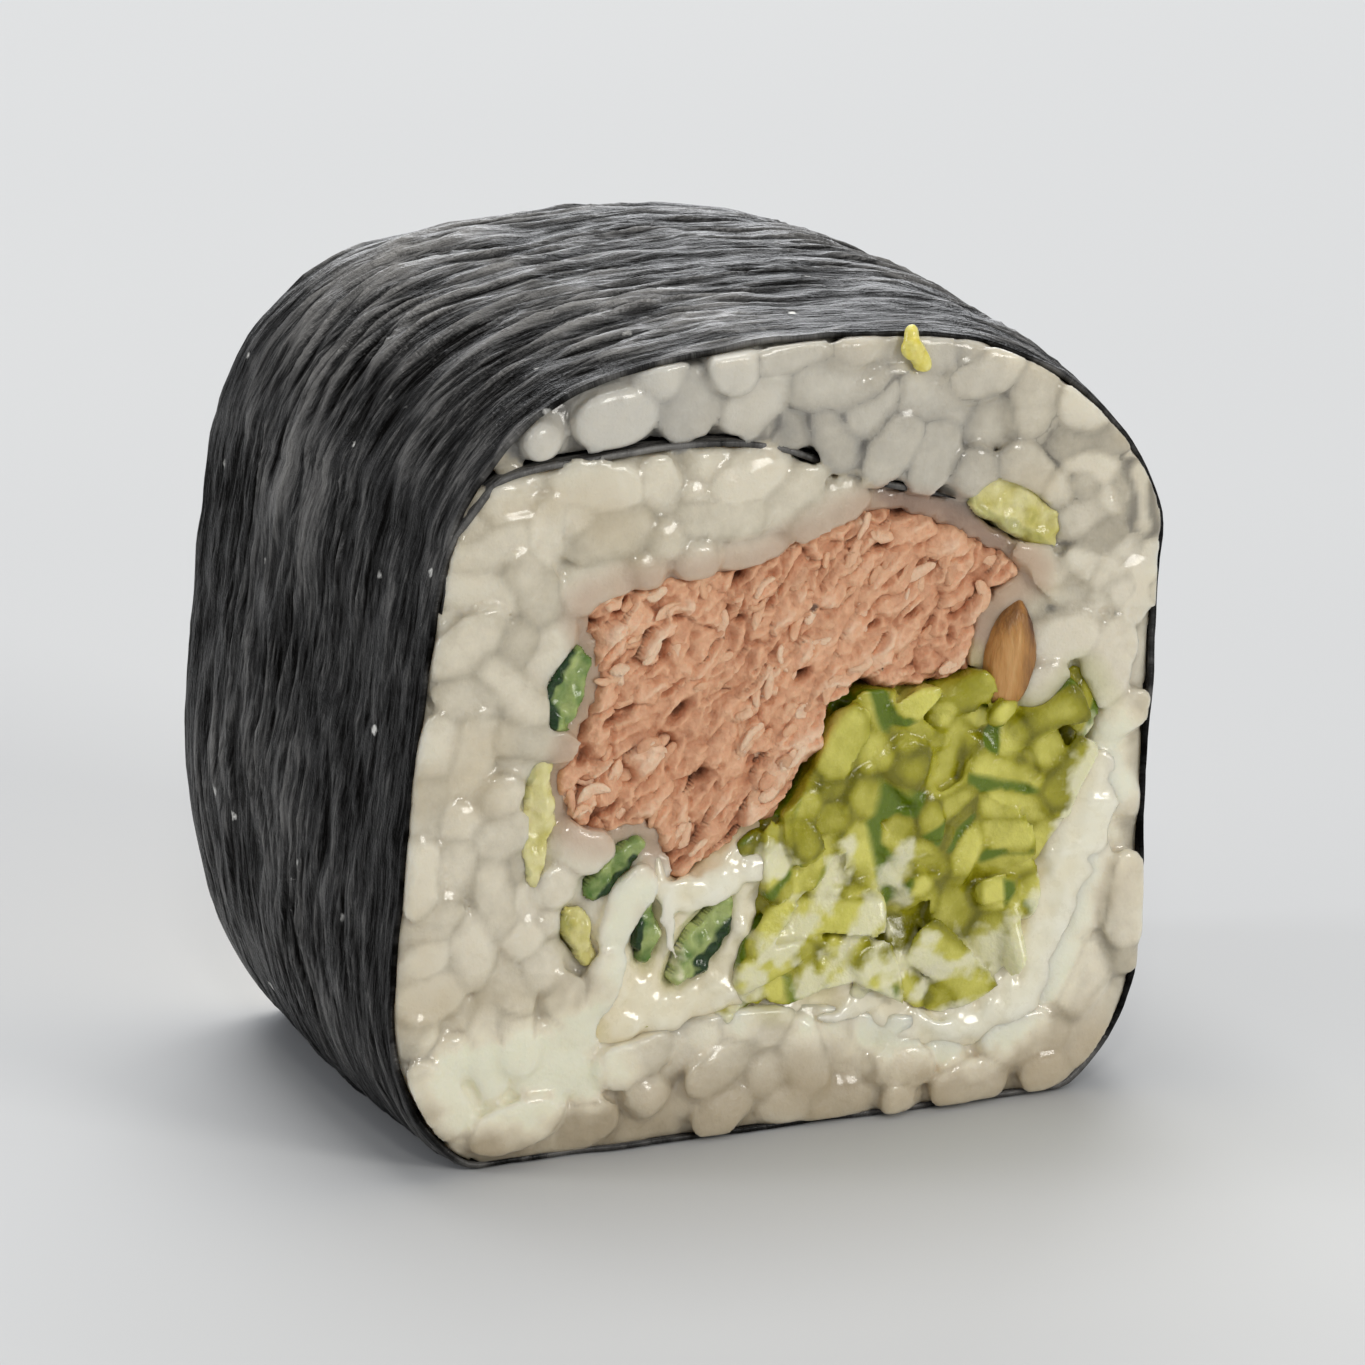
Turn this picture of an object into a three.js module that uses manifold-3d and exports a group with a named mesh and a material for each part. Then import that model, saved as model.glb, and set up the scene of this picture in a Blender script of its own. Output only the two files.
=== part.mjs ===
// One piece of a tuna roll: a full sheet of nori rolled round rice, flaked tuna, shredded cucumber and
// soft cheese, then sliced across. It stands on its flattened underside, with one cut face at the front
// and another at the back.
//
// Millimetres, +Z up, +X to the right of the front cut face, +Y from the front face to the back one.
// Outlines are drawn in the plane of the cut as (x, height); depth runs along the roll, to the front.

import * as THREE from "three";
import { mergeVertices } from "three/addons/utils/BufferGeometryUtils.js";
import Module from "manifold-3d";

const wasm = await Module();
wasm.setup();

// The slice
const LENGTH = 30; // along the roll, from cut face to cut face
const NORI = 0.45; // thickness of the moist sheet
const GAP = 0.3; // left between neighbouring pieces
const ROWS = 3; // rows of faces along the wrap
const ROWS_PAST = 5; // and along a bar that cuts right through
const PAST_CUT = (LENGTH * ROWS_PAST) / ROWS;
const SLIVER = 0.03; // edges finer than this are closed up

// The roll's outline, anticlockwise: where it passes and its half handle there. The foot is the straight
// stretch from the last place to the first.
const WRAP_ANCHORS = [
  { x: 15.6, z: 0, along: [2.8, 0] }, // right end of the foot
  { x: 21.3, z: 8.5, along: [0, 4.2] }, // right hip
  { x: 22.3, z: 30, along: [0.5, 5] }, // right shoulder
  { x: 11, z: 42.3, along: [-5.2, 1.3] }, // crown
  { x: -9, z: 42.4, along: [-5.6, -1] },
  { x: -18.9, z: 32.5, along: [-1.2, -5] }, // left shoulder
  { x: -21.9, z: 9, along: [0, -4.6] }, // left hip
  { x: -16.4, z: 0, along: [2.8, 0] }, // left end of the foot
];
const WRAP_STEPS = 88;
const HALF_WIDTH = 22.3;
const HEIGHT = 43.2;
const SWELL = { x: 0.03, z: 0.012, from: 0.86 }; // the wrap swells between its cut edges

// Towards the back cut the crown leans to the left and the left hip tucks in
const LEAN = { rise: 0.05, level: 8 };
const TUCK = { by: 1.6, low: 4, high: 18, near: 8, far: 20 };

// The start of the sheet, covered by the last lap of rice: it leaves the wrap at the left shoulder
const LAP_LINE = [[-16.55, 37.3], [-10, 38], [-3.5, 38.1], [0.8, 37.2], [5, 35.2], [10.4, 33.7]];
const LAP_STEPS = 16;

// Fillings, as corners of smooth outlines in the cut face
const TUNA_CORNERS = [
  [-11, 30.2], [-9.6, 26.2], [-11.6, 21], [-10.4, 18.2], [-7, 17.6], [-5, 14.2], [-2.4, 16.1],
  [1.2, 18.2], [4.3, 23.4], [8, 23.4], [11.4, 24], [12.4, 27], [14.6, 29.2], [10.6, 32],
  [6.6, 33.7], [2.6, 33], [-1, 31.6], [-6, 31.2],
];
const TUNA_STEPS = 44;
const CUCUMBER_CORNERS = [
  [-2.6, 7.8], [0.4, 6.8], [4, 7.6], [9.6, 5.2], [13.4, 6.8], [15.4, 11.4], [17.2, 16], [19, 20.4],
  [17.4, 23.6], [14.8, 21.6], [11.2, 24.6], [6.4, 25.4], [1.8, 22], [-0.6, 17.4], [-1.2, 12.4],
];
const CUCUMBER_STEPS = 36;
const CHEESE_CORNERS = [
  [-15.4, 6.4], [-12.6, 5], [-7, 5.2], [0, 5], [7, 4], [13.6, 3.8], [17, 8.4], [18.8, 13.6],
  [19.2, 17.6], [13, 15], [1.4, 18.6], [-4.6, 16.6], [-9, 12.6], [-10.4, 8.2],
];
const CHEESE_STEPS = 40;
const CHEESE_RECESS = 0.6; // how far a piece stays behind the edge of the nori

// Shreds of cucumber apart from the bundle: centre, half sizes and turn of each one's section
const STRANDS = [
  { name: "strand_top", x: 13.7, z: 32.6, across: 2.9, up: 1.2, turn: -34, color: 0xb4a95a },
  { name: "strand_left", x: -13.6, z: 19, across: 0.9, up: 3.9, turn: -5, color: 0xb2a468 },
  { name: "strand_peel", x: -11.9, z: 25.4, across: 0.9, up: 2.2, turn: -18, color: 0x4a5a1c },
  { name: "strand_diagonal", x: -9.3, z: 15.6, across: 2.3, up: 0.9, turn: 38, color: 0x31472c },
  { name: "strand_olive", x: -11.4, z: 12.2, across: 0.9, up: 1.9, turn: 22, color: 0x7e7b3a },
  { name: "strand_green", x: -7.4, z: 11.9, across: 0.7, up: 2.2, turn: -3, color: 0x4c6a5a },
  { name: "strand_slant", x: -4.3, z: 10.8, across: 2.9, up: 1.1, turn: 54, color: 0x5a745c },
];
const STRAND_SIDES = 12;
const STRAND_RECESS = 0.3;

// A plump tan seed beside the tuna, at the front face only
const SEED = { x: 13.6, z: 24.6, across: 1.1, up: 2.4, turn: -10, depth: 5 };

// What stands out of each cut face: grains of rice, ends of cucumber shreds and flakes of tuna. A tilt is
// out of the face and a turn is in it, in degrees.
const GRAIN = { length: 5.9, width: 3.1, sides: 5, rings: 4, tilt: 25, spread: 0.12, crown: 0.35 };
const GRAINS_PER_FACE = 60;
const RICE_RECESS = 1.1;
const SHRED = { length: 5, width: 2.1, sides: 5, tilt: 40 };
const SHREDS_PER_FACE = 26;
const CUCUMBER_RECESS = 1.3;
const FLAKE = { length: 5.2, width: 2.6, height: 1.9, sides: 5, rings: 3, tilt: 20, turn: 35, stray: 30 };
const FLAKES_PER_FACE = 16;
const TUNA_RECESS = 0.7;
const PLACE_TRIES = 30; // places tried for each of these, of which the emptiest is taken

const radians = THREE.MathUtils.degToRad;

// A repeatable source of numbers from 0 to 1
function seeded(seed) {
  let state = seed;
  return () => {
    state = (Math.imul(state, 1664525) + 1013904223) >>> 0;
    return state / 2 ** 32;
  };
}

// Outlines

function wrapOutline() {
  const path = new THREE.Path();
  path.moveTo(WRAP_ANCHORS[0].x, WRAP_ANCHORS[0].z);
  WRAP_ANCHORS.slice(1).forEach((to, i) => {
    const from = WRAP_ANCHORS[i];
    path.bezierCurveTo(
      from.x + from.along[0], from.z + from.along[1],
      to.x - to.along[0], to.z - to.along[1],
      to.x, to.z,
    );
  });
  path.closePath();
  return path.getSpacedPoints(WRAP_STEPS).slice(0, -1);
}

// A smooth closed curve through the corners
function smoothOutline(corners, steps) {
  const ends = corners.map(([x, z]) => new THREE.Vector3(x, z, 0));
  const curve = new THREE.CatmullRomCurve3(ends, true, "centripetal");
  const points = curve.getSpacedPoints(steps).slice(0, -1).map(({ x, y }) => new THREE.Vector2(x, y));
  return THREE.ShapeUtils.isClockWise(points) ? points.reverse() : points;
}

function ellipseOutline({ x, z, across, up, turn }, room = 0) {
  const curve = new THREE.EllipseCurve(x, z, across + room, up + room, 0, 2 * Math.PI, false, radians(turn));
  return curve.getPoints(STRAND_SIDES).slice(0, -1);
}

// The outline moved outwards, or inwards by a negative distance
function offset(points, distance) {
  return points.map((point, i) => {
    const along = points[(i + 1) % points.length].clone().sub(points.at(i - 1)).normalize();
    return new THREE.Vector2(point.x + along.y * distance, point.y - along.x * distance);
  });
}

// The covered start of the sheet, with room left round it
function lapOutline(room = 0) {
  const curve = new THREE.SplineCurve(LAP_LINE.map(([x, z]) => new THREE.Vector2(x, z)));
  const half = NORI / 2 + room;
  const side = (sign) =>
    Array.from({ length: LAP_STEPS + 1 }, (_, i) => {
      const along = curve.getTangentAt(i / LAP_STEPS);
      const point = curve.getPointAt(i / LAP_STEPS).addScaledVector(along, i === LAP_STEPS ? room : 0);
      return new THREE.Vector2(point.x - sign * along.y * half, point.y + sign * along.x * half);
    });
  return [...side(-1), ...side(1).reverse()];
}

function inside(point, outline) {
  const crossings = outline.filter((a, i) => {
    const b = outline.at(i - 1);
    const spans = a.y > point.y !== b.y > point.y;
    return spans && point.x < ((b.x - a.x) * (point.y - a.y)) / (b.y - a.y) + a.x;
  });
  return crossings.length % 2 === 1;
}

// Solids

// The roll leans towards its back cut; the front cut and the foot's height stay as they are
function lean(geometry) {
  const position = geometry.getAttribute("position");
  const { smoothstep } = THREE.MathUtils;
  for (let i = 0; i < position.count; i += 1) {
    const [x, z, depth] = [position.getX(i), position.getY(i), position.getZ(i)];
    const back = 0.5 - depth / LENGTH;
    const tuck = TUCK.by * smoothstep(-x, TUCK.near, TUCK.far) * (1 - smoothstep(z, TUCK.low, TUCK.high));
    position.setX(i, x + back * (tuck - LEAN.rise * (z - LEAN.level)));
  }
  return geometry;
}

function toSolid(geometry) {
  const bare = new THREE.BufferGeometry().setAttribute("position", geometry.getAttribute("position"));
  const merged = mergeVertices(bare.setIndex(geometry.index), 1e-4);
  const vertProperties = merged.getAttribute("position").array;
  const triVerts = new Uint32Array(merged.index.array);
  return new wasm.Manifold(new wasm.Mesh({ numProp: 3, vertProperties, triVerts }));
}

// The solid without the loose scraps and slivers that cuts have left
function tidied(solid) {
  const bodies = solid.simplify(SLIVER).decompose();
  return bodies.reduce((largest, next) => (next.volume() > largest.volume() ? next : largest));
}

function toGeometry(solid) {
  const { vertProperties, triVerts } = solid.getMesh();
  return new THREE.BufferGeometry()
    .setAttribute("position", new THREE.BufferAttribute(new Float32Array(vertProperties), 3))
    .setIndex(new THREE.BufferAttribute(new Uint32Array(triVerts), 1));
}

// The wrap swells between its cut edges, and the foot stays flat; fillings stay straight
function swell(geometry) {
  const position = geometry.getAttribute("position");
  for (let i = 0; i < position.count; i += 1) {
    const [x, z, depth] = [position.getX(i), position.getY(i), position.getZ(i)];
    const reach = Math.hypot(x / HALF_WIDTH, (2 * z) / HEIGHT - 1);
    const middle = Math.max(0, 1 - ((2 * depth) / LENGTH) ** 2);
    const share = THREE.MathUtils.smoothstep(reach, SWELL.from, 1) * middle;
    position.setXY(i, x * (1 + SWELL.x * share), z * (1 + SWELL.z * share));
  }
  return geometry;
}

// A bar of the outline, centred along the roll or round another place there
function bar(outline, depth, steps = 1, middle = 0) {
  const geometry = new THREE.ExtrudeGeometry(new THREE.Shape(outline), { depth, steps, bevelEnabled: false });
  return toSolid(lean(swell(geometry.translate(0, 0, middle - depth / 2))));
}

// Places spread over the part of the cut face that the test accepts, each in the emptiest spot tried
function spreadPlaces(count, accepts, random) {
  const places = [];
  while (places.length < count) {
    const tried = [];
    while (tried.length < PLACE_TRIES) {
      const x = HALF_WIDTH * (2 * random() - 1);
      const place = new THREE.Vector2(x, HEIGHT * random());
      if (!accepts(place)) continue;
      const room = Math.min(HEIGHT, ...places.map((other) => other.distanceTo(place)));
      tried.push({ place, room });
    }
    places.push(tried.reduce((best, next) => (next.room > best.room ? next : best)).place);
  }
  return places;
}

// Small shapes over both cut faces, joined; each shape is made round its own centre
function scattered(count, depth, seed, accepts, shape) {
  const random = seeded(seed);
  const solids = [depth, -depth].flatMap((at) =>
    spreadPlaces(count, accepts, random).map(({ x, y }) => toSolid(lean(shape(random).translate(x, y, at)))),
  );
  return wasm.Manifold.union(solids);
}

const either = (random) => 2 * random() - 1;

function grain(random) {
  const size = 1 + GRAIN.spread * either(random);
  return new THREE.SphereGeometry(size / 2, GRAIN.sides, GRAIN.rings)
    .scale(GRAIN.width, GRAIN.length, GRAIN.width)
    .rotateX(radians(GRAIN.tilt) * either(random))
    .rotateZ(Math.PI * random());
}

function shred(random) {
  return new THREE.CylinderGeometry(SHRED.width / 2, SHRED.width / 2, SHRED.length, SHRED.sides)
    .rotateX(Math.PI / 2 + radians(SHRED.tilt) * random())
    .rotateZ(2 * Math.PI * random());
}

function flake(random) {
  return new THREE.SphereGeometry(0.5, FLAKE.sides, FLAKE.rings)
    .rotateZ(Math.PI / 2)
    .scale(FLAKE.length, FLAKE.width, FLAKE.height)
    .rotateY(radians(FLAKE.tilt) * either(random))
    .rotateZ(radians(FLAKE.turn + FLAKE.stray * either(random)));
}

const wrap = wrapOutline();
const pocket = offset(wrap, -NORI - GAP);
const tuna = smoothOutline(TUNA_CORNERS, TUNA_STEPS);
const cucumber = smoothOutline(CUCUMBER_CORNERS, CUCUMBER_STEPS);
const cheese = smoothOutline(CHEESE_CORNERS, CHEESE_STEPS);

// The room that pieces take, with the gap round them
const tunaRoom = bar(offset(tuna, GAP), PAST_CUT);
const cucumberRoom = bar(offset(cucumber, GAP), PAST_CUT);
const cheeseRoom = bar(offset(cheese, GAP), PAST_CUT);
const lapRoom = bar(lapOutline(GAP), PAST_CUT, ROWS_PAST);
const strandRoom = wasm.Manifold.union(STRANDS.map((strand) => bar(ellipseOutline(strand, GAP), PAST_CUT)));
const seedBack = LENGTH / 2 - SEED.depth - GAP;
const seedRoom = bar(ellipseOutline(SEED, GAP), PAST_CUT, 1, seedBack + PAST_CUT / 2);

// Sub-parts

function noriSolid() {
  const shell = bar(wrap, LENGTH, ROWS).subtract(bar(offset(wrap, -NORI), PAST_CUT, ROWS_PAST));
  return shell.add(bar(lapOutline(), LENGTH, ROWS));
}

function riceSolid() {
  const fillings = [tuna, cucumber, cheese, lapOutline(GAP), ...STRANDS.map((strand) => ellipseOutline(strand))];
  const margin = offset(pocket, -GRAIN.width / 4);
  const accepts = (place) => inside(place, margin) && !fillings.some((outline) => inside(place, outline));
  const grains = scattered(GRAINS_PER_FACE, LENGTH / 2 - RICE_RECESS, 21, accepts, grain);
  const solid = bar(pocket, LENGTH - 2 * RICE_RECESS, ROWS)
    .add(grains.intersect(bar(pocket, LENGTH + 2 * GRAIN.crown, ROWS)))
    .subtract(wasm.Manifold.union([tunaRoom, cucumberRoom, cheeseRoom, strandRoom, seedRoom, lapRoom]));
  return tidied(solid);
}

function tunaSolid() {
  const margin = offset(tuna, -FLAKE.width / 3);
  const accepts = (place) => inside(place, margin);
  const flakes = scattered(FLAKES_PER_FACE, LENGTH / 2 - TUNA_RECESS, 5, accepts, flake);
  const solid = bar(tuna, LENGTH - 2 * TUNA_RECESS)
    .add(flakes.intersect(bar(tuna, PAST_CUT)))
    .subtract(strandRoom)
    .subtract(seedRoom);
  return tidied(solid);
}

function cucumberSolid() {
  const margin = offset(cucumber, -SHRED.width / 3);
  const accepts = (place) => inside(place, margin);
  const ends = scattered(SHREDS_PER_FACE, LENGTH / 2 - SHRED.length / 2, 8, accepts, shred);
  const solid = bar(cucumber, LENGTH - 2 * CUCUMBER_RECESS)
    .add(ends.intersect(bar(cucumber, PAST_CUT)))
    .subtract(wasm.Manifold.union([tunaRoom, strandRoom, seedRoom]));
  return tidied(solid);
}

function cheeseSolid() {
  const bed = bar(cheese, LENGTH - 2 * CHEESE_RECESS);
  return tidied(bed.subtract(wasm.Manifold.union([tunaRoom, cucumberRoom, strandRoom])));
}

function strandSolid(strand) {
  return bar(ellipseOutline(strand), LENGTH - 2 * STRAND_RECESS);
}

function seedSolid() {
  const geometry = new THREE.SphereGeometry(1, STRAND_SIDES, STRAND_SIDES / 2)
    .scale(SEED.across, SEED.up, SEED.depth / 2)
    .rotateZ(radians(SEED.turn));
  return toSolid(lean(geometry.translate(SEED.x, SEED.z, LENGTH / 2 - SEED.depth / 2)));
}

function piece(name, solid, color, roughness) {
  const geometry = toGeometry(solid).rotateX(Math.PI / 2);
  geometry.computeVertexNormals();
  const mesh = new THREE.Mesh(geometry, new THREE.MeshStandardMaterial({ color, roughness, metalness: 0 }));
  mesh.name = name;
  return mesh;
}

const group = new THREE.Group();
group.name = "tuna_roll";
group.add(
  piece("nori", noriSolid(), 0x1c1e1d, 0.5),
  piece("rice", riceSolid(), 0xd2cdc3, 0.45),
  piece("tuna", tunaSolid(), 0xc99a80, 0.6),
  piece("cucumber", cucumberSolid(), 0xa7a84f, 0.4),
  piece("cream_cheese", cheeseSolid(), 0xece9e0, 0.4),
  piece("seed", seedSolid(), 0xc08a4a, 0.4),
  ...STRANDS.map((strand) => piece(strand.name, strandSolid(strand), strand.color, 0.4)),
);

// The origin is the middle of the underside
const box = new THREE.Box3().setFromObject(group);
const middle = box.getCenter(new THREE.Vector3());
group.children.forEach((mesh) => mesh.geometry.translate(-middle.x, -middle.y, -box.min.z));

export default group;
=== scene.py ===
"""Looks of one cut piece of a tuna roll.

A sheet of nori is rolled round rice, flaked tuna, shredded cucumber and soft white cheese, and the piece
stands on its flattened underside with its front cut towards the viewer.

Shapes are worked out in millimetres. A section point is (x, z): x to the right of the front cut, z up from
the underside. A point in space is (x, y, z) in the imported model's own axes, with the front cut at y = -15.
"""

import logging
import math
from collections.abc import Callable, Sequence
from dataclasses import dataclass, field
from enum import Enum
from functools import reduce
from itertools import product
from typing import ClassVar

import bpy
import numpy as np
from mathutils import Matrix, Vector
from numpy.typing import NDArray


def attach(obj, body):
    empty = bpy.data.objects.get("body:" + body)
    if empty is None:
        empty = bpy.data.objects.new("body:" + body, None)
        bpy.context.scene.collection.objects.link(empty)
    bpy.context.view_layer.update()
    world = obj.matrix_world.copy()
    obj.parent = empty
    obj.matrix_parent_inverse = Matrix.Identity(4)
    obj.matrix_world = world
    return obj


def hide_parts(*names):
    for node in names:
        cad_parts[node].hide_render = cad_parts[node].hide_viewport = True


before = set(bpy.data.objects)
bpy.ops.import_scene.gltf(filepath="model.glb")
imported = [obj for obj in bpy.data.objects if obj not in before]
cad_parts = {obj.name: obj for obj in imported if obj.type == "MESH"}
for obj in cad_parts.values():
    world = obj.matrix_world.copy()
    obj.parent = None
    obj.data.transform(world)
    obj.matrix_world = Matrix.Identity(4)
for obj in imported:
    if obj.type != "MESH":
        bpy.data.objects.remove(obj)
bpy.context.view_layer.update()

Array = NDArray[np.float64]
Index = NDArray[np.int64]
Colour = tuple[int, int, int]
Pair = tuple[float, float]
Spot = tuple[float, float, float]
Bumps = tuple[float, float | tuple[float, ...], int]

LOG = logging.getLogger("tuna_roll")
MM = 0.001
LENGTH = 30.0
HALF_LENGTH = LENGTH / 2
HALF_WIDTH = 22.3
HEIGHT = 43.2
SIDE_SHIFT = -0.168
SHEET_THICKNESS = 0.32
SWELL: Pair = (0.03, 0.012)
SWELL_RIM: Pair = (0.86, 1.0)
LEAN_RISE, LEAN_LEVEL = 0.05, 8.0
TUCK = 1.6
TUCK_SIDE: Pair = (8.0, 20.0)
TUCK_HEIGHT: Pair = (4.0, 18.0)
EASING: Pair = (0.55, -0.57)
BED_INSET = 0.05
BED_OVERLAP = 0.4
CUT = [0, 2]
MIRROR = np.array([1, -1, 1])


class Face(Enum):
    """The two cut faces of the piece."""

    FRONT = -1
    BACK = 1

    @property
    def seed(self) -> int:
        """Number that sets this face's random draws apart from the other's."""
        return 3 if self is Face.FRONT else 8


class Layer(Enum):
    """How much of a grain shows, with the rings and sides that its mesh then has."""

    SHOWING = (19, 16)
    BURIED = (11, 10)


# -- Numbers, noise and outlines ----------------------------------------


def linear(colour: Colour) -> tuple[float, float, float, float]:
    """Turn a screen colour into the shader's linear one.

    Args:
        colour: Red, green and blue from 0 to 255.

    Returns:
        Linear red, green, blue and full opacity.
    """
    shares = (part / 255 for part in colour)
    red, green, blue = (s / 12.92 if s <= 0.04045 else ((s + 0.055) / 1.055) ** 2.4 for s in shares)
    return red, green, blue, 1.0


def smoothstep(values: Array, low: float, high: float) -> Array:
    """Ease values from 0 at low to 1 at high."""
    share = np.clip((values - low) / (high - low), 0.0, 1.0)
    return share * share * (3 - 2 * share)


def unit(vectors: Array) -> Array:
    """Scale vectors to length one."""
    return vectors / np.maximum(np.linalg.norm(vectors, axis=-1, keepdims=True), 1e-9)


class Clouds:
    """Repeatable smooth unevenness over space."""

    @staticmethod
    def _slopes(cells: Index, seed: int) -> Array:
        """Draw a random slope for each lattice corner.

        Args:
            cells: Whole-number corners, one row each.
            seed: Number of this field.

        Returns:
            Three numbers from -1 to 1 for each corner.
        """
        key = cells[:, 0] * 73856093 ^ cells[:, 1] * 19349663 ^ cells[:, 2] * 83492791 ^ (seed * 40503 + 977)
        key = key.astype(np.uint64) & np.uint64(0xFFFFFFFF)
        for step in (16, 15, 16):
            key ^= key >> np.uint64(step)
            key = (key * np.uint64(0x45D9F3B)) & np.uint64(0xFFFFFFFF)
        key ^= key >> np.uint64(16)
        parts = [(key >> np.uint64(shift)) & np.uint64(1023) for shift in (0, 10, 20)]
        return np.stack(parts, axis=1).astype(np.float64) / 511.5 - 1

    @classmethod
    def smooth(cls, points: Array, size: float | Sequence[float], seed: int) -> Array:
        """Smooth bumps of about the given size.

        Args:
            points: Places, flat or in space.
            size: Width of a bump, or one width for each axis.
            seed: Number of this field.

        Returns:
            One number for each place, mostly from -1 to 1.
        """
        spots = np.asarray(points, dtype=np.float64) / np.asarray(size, dtype=np.float64)
        if spots.shape[1] == 2:
            spots = np.column_stack([spots, np.full(len(spots), 0.37)])
        cells = np.floor(spots).astype(np.int64)
        rest = spots - cells
        fade = rest ** 3 * (rest * (rest * 6 - 15) + 10)
        total = np.zeros(len(spots))
        for corner in product((0, 1), repeat=3):
            step = np.array(corner)
            weight = np.prod(np.where(step == 1, fade, 1 - fade), axis=1)
            total += weight * np.sum((rest - step) * cls._slopes(cells + step, seed), axis=1)
        return total * 1.7

    @classmethod
    def layered(cls, points: Array, size: float, seed: int, layers: int = 3) -> Array:
        """Bumps of a size, with finer and weaker ones on top of them."""
        return sum(cls.smooth(points, size / 2 ** n, seed + 31 * n) / 2 ** n for n in range(layers))

    @classmethod
    def ridged(cls, points: Array, size: float | Sequence[float], seed: int) -> Array:
        """Narrow crests with wide hollows between them, from 0 to 1."""
        return (1 - np.minimum(np.abs(cls.smooth(points, size, seed)) * 1.6, 1.0)) ** 2

    @classmethod
    def mingled(cls, points: Array, kinds: Sequence[Bumps], shift: int = 0) -> Array:
        """Bumps of several kinds added up, each with its height, width and seed."""
        return sum(high * cls.smooth(points, wide, seed + shift) for high, wide, seed in kinds)

    @classmethod
    def drift(cls, points: Array, size: float, seed: int) -> Array:
        """Uneven moves of points, one number for each axis."""
        return np.stack([cls.layered(points, size, seed + axis) for axis in range(3)], axis=1)


class Outline:
    """Ways to draw the lines of the cut."""

    @staticmethod
    def resampled(points: Array, step: float, closed: bool = False) -> Array:
        """Space points evenly along a line.

        Args:
            points: The line's points, in order.
            step: Distance wanted between points.
            closed: Whether the last point joins the first.

        Returns:
            The evenly spaced points.
        """
        line = np.vstack([points, points[:1]]) if closed else points
        run = np.concatenate([[0.0], np.cumsum(np.linalg.norm(np.diff(line, axis=0), axis=1))])
        count = max(int(round(run[-1] / step)), 2)
        marks = np.linspace(0, run[-1], count + 1)
        spaced = np.column_stack([np.interp(marks, run, line[:, axis]) for axis in range(line.shape[1])])
        return spaced[:-1] if closed else spaced

    @staticmethod
    def through(corners: Sequence[Pair], closed: bool, pieces: int = 8) -> Array:
        """Draw a smooth line through points.

        Args:
            corners: Points that the line goes through.
            closed: Whether the line comes back to its start.
            pieces: Points for each stretch between two corners.

        Returns:
            The line's points.
        """
        knots = np.asarray(corners, dtype=np.float64)
        if closed:
            padded = np.vstack([knots[-1:], knots, knots[:2]])
        else:
            padded = np.vstack([2 * knots[:1] - knots[1:2], knots, 2 * knots[-1:] - knots[-2:-1]])
        drawn = []
        for before, start, end, after in zip(padded, padded[1:], padded[2:], padded[3:]):
            stretches = ((before, start), (start, end), (end, after))
            first, middle, last = (max(math.sqrt(np.linalg.norm(b - a)), 1e-4) for a, b in stretches)
            leave = middle * ((start - before) / first - (end - before) / (first + middle)) + (end - start)
            reach = middle * ((after - end) / last - (after - start) / (middle + last)) + (end - start)
            for share in np.arange(pieces) / pieces:
                square, cube = share ** 2, share ** 3
                drawn.append((2 * cube - 3 * square + 1) * start + (cube - 2 * square + share) * leave
                             + (3 * square - 2 * cube) * end + (cube - square) * reach)
        if not closed:
            drawn.append(knots[-1])
        return np.array(drawn)

    @staticmethod
    def moved(points: Array) -> Array:
        """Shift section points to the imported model's middle."""
        return points + np.array([SIDE_SHIFT, 0.0])


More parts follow.
